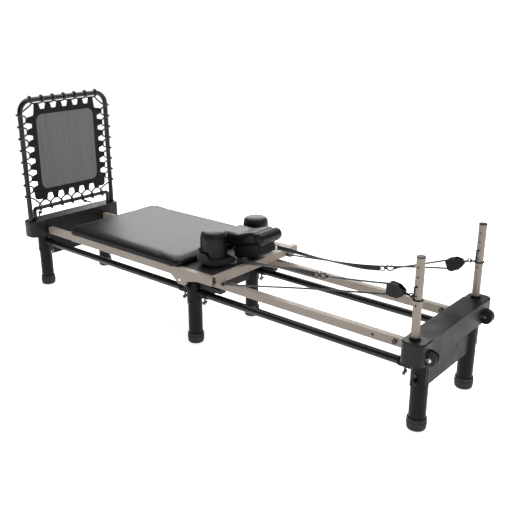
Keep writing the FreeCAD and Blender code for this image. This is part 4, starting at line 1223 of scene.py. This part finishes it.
def make_bungee():
    """The lacing: one cord up each post, one along the top bar and one along the cross tube."""
    hem_half = MAT_HALF + HEM_WIDTH
    hem_top, hem_low = MAT_HIGH + HEM_WIDTH, MAT_LOW - HEM_WIDTH
    runs = {}
    for side, name in ((-1, "near"), (1, "far")):
        meeting_x = REB_X - side * (POST_RADIUS + BUNGEE / 2 + WRAP_PLAY)
        tab_y = side * (hem_half + TAB_TO_CORD)
        points = [(meeting_x, side * TIE_Y, CROSS_Z + TIE_GAP)]
        for i in range(len(TAB_Z) + 1):
            points += wrap_points(0.5 + TAB_STEP_Z * i, side * POST_Y, side, POST_RADIUS, True)
            if i < len(TAB_Z):
                points += [(REB_X, tab_y, TAB_Z[i] - TAB_HOLD), (REB_X, tab_y, TAB_Z[i] + TAB_HOLD)]
        points.append((meeting_x, side * TIE_Y, BAR_Z - TIE_GAP))
        runs[name] = points
    for name, middle, sign, level, radius in (("top", BAR_Z, 1, hem_top + TAB_TO_CORD, POST_RADIUS),
                                              ("low", CROSS_Z, -1, hem_low - TAB_TO_CORD, CROSS_RADIUS)):
        points = []
        for i in range(len(TAB_Y) + 1):
            points += wrap_points(-0.204 + TAB_STEP_Y * i, middle, sign, radius, False)
            if i < len(TAB_Y):
                points += [(REB_X, TAB_Y[i] - TAB_HOLD, level), (REB_X, TAB_Y[i] + TAB_HOLD, level)]
        runs[name] = points
    cords = []
    for name, points in runs.items():
        line = line_of(points)
        cord = sweep("bungee_" + name, line, circle_section(BUNGEE / 2, 10), "bungee")
        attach(cord, "rebounder")
        tuple(points[0])
        cords.append(cord)
    return cords


def tab_rolls():
    """The sewn end of each tab, rolled round the bungee."""
    rolls = []
    hem_half = MAT_HALF + HEM_WIDTH + TAB_TO_CORD
    places = [((REB_X, y, MAT_HIGH + HEM_WIDTH + TAB_TO_CORD), (0, 1, 0)) for y in TAB_Y]
    places += [((REB_X, y, MAT_LOW - HEM_WIDTH - TAB_TO_CORD), (0, 1, 0)) for y in TAB_Y]
    places += [((REB_X, side * hem_half, z), (0, 0, 1)) for side in (-1, 1) for z in TAB_Z]
    profile = mirrored([(0.004, -0.013), (0.0056, -0.0125), (0.006, 0)])
    for at, axis in places:
        rolls.append(lathe("roll", profile, at, axis, "hem", 14))
    return join_pieces("tab_rolls", rolls)


def loose_end(name, at, towards, drop):
    """A knot in the bungee's end and the short tail below it."""
    at = Vector(at)
    knot = []
    for k in range(64):
        t = 2 * math.pi * k / 64
        knot.append(at + Vector(((math.sin(t) + 2 * math.sin(2 * t)) * 0.0026,
                                 (math.cos(t) - 2 * math.cos(2 * t)) * 0.0026,
                                 -math.sin(3 * t) * 0.0034)))
    ball = sweep("knot", knot, circle_section(BUNGEE / 2, 8), "bungee", cyclic=True)
    middle = at + Vector(towards) * 0.35 + Vector((0, 0, -drop * 0.3))
    tail = line_of([at, middle, at + Vector(towards) + Vector((0, 0, -drop))])
    strand = sweep("tail", tail, circle_section(BUNGEE / 2, 8), "bungee")
    return join_pieces(name, [ball, strand])


mat = make_mat()
hem, stitching = make_hem()
rolls = tab_rolls()
cords = make_bungee()
ends = [loose_end("bungee_end_near", (REB_X + 0.013, -0.218, CROSS_Z - 0.021), (0.012, -0.018, 0), 0.022),
        loose_end("bungee_end_far", (REB_X + 0.013, 0.075, CROSS_Z - 0.019), (0.012, 0.030, 0), 0.012)]
for piece in [mat, hem, stitching, rolls, *ends]:
    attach(piece, "rebounder")
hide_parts("rebounder_mat")
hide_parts("rebounder_hem")
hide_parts("rebounder_bungee")


# ---------------------------------------------------------------- snap hooks

HOOKS = {"near": ((0.692, -0.171, 0.475), (0.618, -0.159, 0.462)),
         "far": ((0.775, 0.205, 0.424), (0.700, 0.197, 0.405))}


def snap_hook(side):
    """A swivel snap hook: a strap eye, a swivel, a bent hook with its gate and thumb lever."""
    tip, rear = map(Vector, HOOKS[side])
    length = (tip - rear).length
    heading = (tip - rear).normalized()
    across = Vector((0, 0, 1)).cross(heading).normalized()
    up = heading.cross(across)

    def at(x, z):
        return rear + heading * x + up * z

    def bar(name, line, section, cyclic=False):
        return sweep(name, line, section, "dark_steel", cyclic=cyclic, up=across)

    end = length - 0.0145
    turns = [2 * math.pi * k / 32 for k in range(32)]
    eye = [at(0.0115 + 0.0095 * math.cos(t), 0.0115 * math.sin(t)) for t in turns]
    swivel = [(0.003, 0), (0.0048, 0.0006), (0.0048, 0.003), (0.0034, 0.0036), (0.0034, 0.0056),
              (0.0052, 0.0062), (0.0052, 0.0098), (0.003, 0.0104)]
    bend = [at(0.031, 0), at(0.034, -0.006), at(0.040, -0.0098), at(end - 0.008, -0.0098),
            at(end, -0.004), at(end, 0.004), at(end - 0.006, 0.0098), at(end - 0.012, 0.0088)]
    gate = [at(0.032, 0.001), at(0.035, 0.0075), at(0.042, 0.0095), at(end - 0.013, 0.0092)]
    lever = [at(0.0385, 0.0095), at(0.037, 0.013), at(0.033, 0.0155)]
    collar = [(0.0035, 0), (0.0058, 0.0012), (0.0062, 0.006), (0.0056, 0.0115), (0.0038, 0.0138)]
    whipping = []
    for k in range(49):
        angle = k * math.pi / 4
        whipping.append(at(length - 0.0115 + 0.0008 * k / 8, 0)
                        + (up * math.sin(angle) + across * math.cos(angle)) * 0.0062)
    pieces = [
        bar("eye", eye, circle_section(0.0025, 10), cyclic=True),
        lathe("swivel", swivel, at(0.0205, 0), heading, "dark_steel", 24),
        bar("bend", line_of(bend), circle_section(0.0031, 12)),
        bar("gate", line_of(gate), circle_section(0.0021, 10)),
        bar("lever", line_of(lever), strap_section(0.0045, 0.0022)),
        lathe("collar", collar, at(length - 0.014, 0), heading, "dark_steel", 24),
        sweep("whipping", whipping, circle_section(0.0009, 6), "dark_steel", up=heading),
    ]
    hook = join_pieces("snap_hook_detail_" + side, pieces)
    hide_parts("snap_hook_" + side)
    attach(hook, "snap_hook_" + side)


for side in HOOKS:
    snap_hook(side)


# ---------------------------------------------------------------- lock pins

PIN_X = (-1.069, -0.061, 0.061, 1.049)
PIN_Y = 0.196


def pin_rings():
    """A split ring, of two turns of wire, that hangs in the head of each lock pin."""
    face = Vector((0.9, 0.44, 0)).normalized()
    across = Vector((-face.y, face.x, 0))
    rings = []
    for x in PIN_X:
        for y in (-PIN_Y, PIN_Y):
            middle = Vector((x, y, 0.1945))
            line = []
            for k in range(80):
                angle = 4 * math.pi * k / 80
                side = face * (0.0013 * math.cos(angle / 2))
                line.append(middle + side
                            + 0.0095 * (across * math.sin(angle) + Vector((0, 0, 1)) * math.cos(angle)))
            rings.append(sweep("ring", line, circle_section(0.0009, 8), "chrome", cyclic=True, up=face))
    joined = join_pieces("pin_rings", rings)
    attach(joined, "frame")


pin_rings()


# ---------------------------------------------------------------- finish

def plain(box):
    """A box as rounded numbers."""
    return [[round(float(value), 5) for value in corner] for corner in box]


{"cad": plain(CAD_BOX), "visual": plain(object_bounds())}
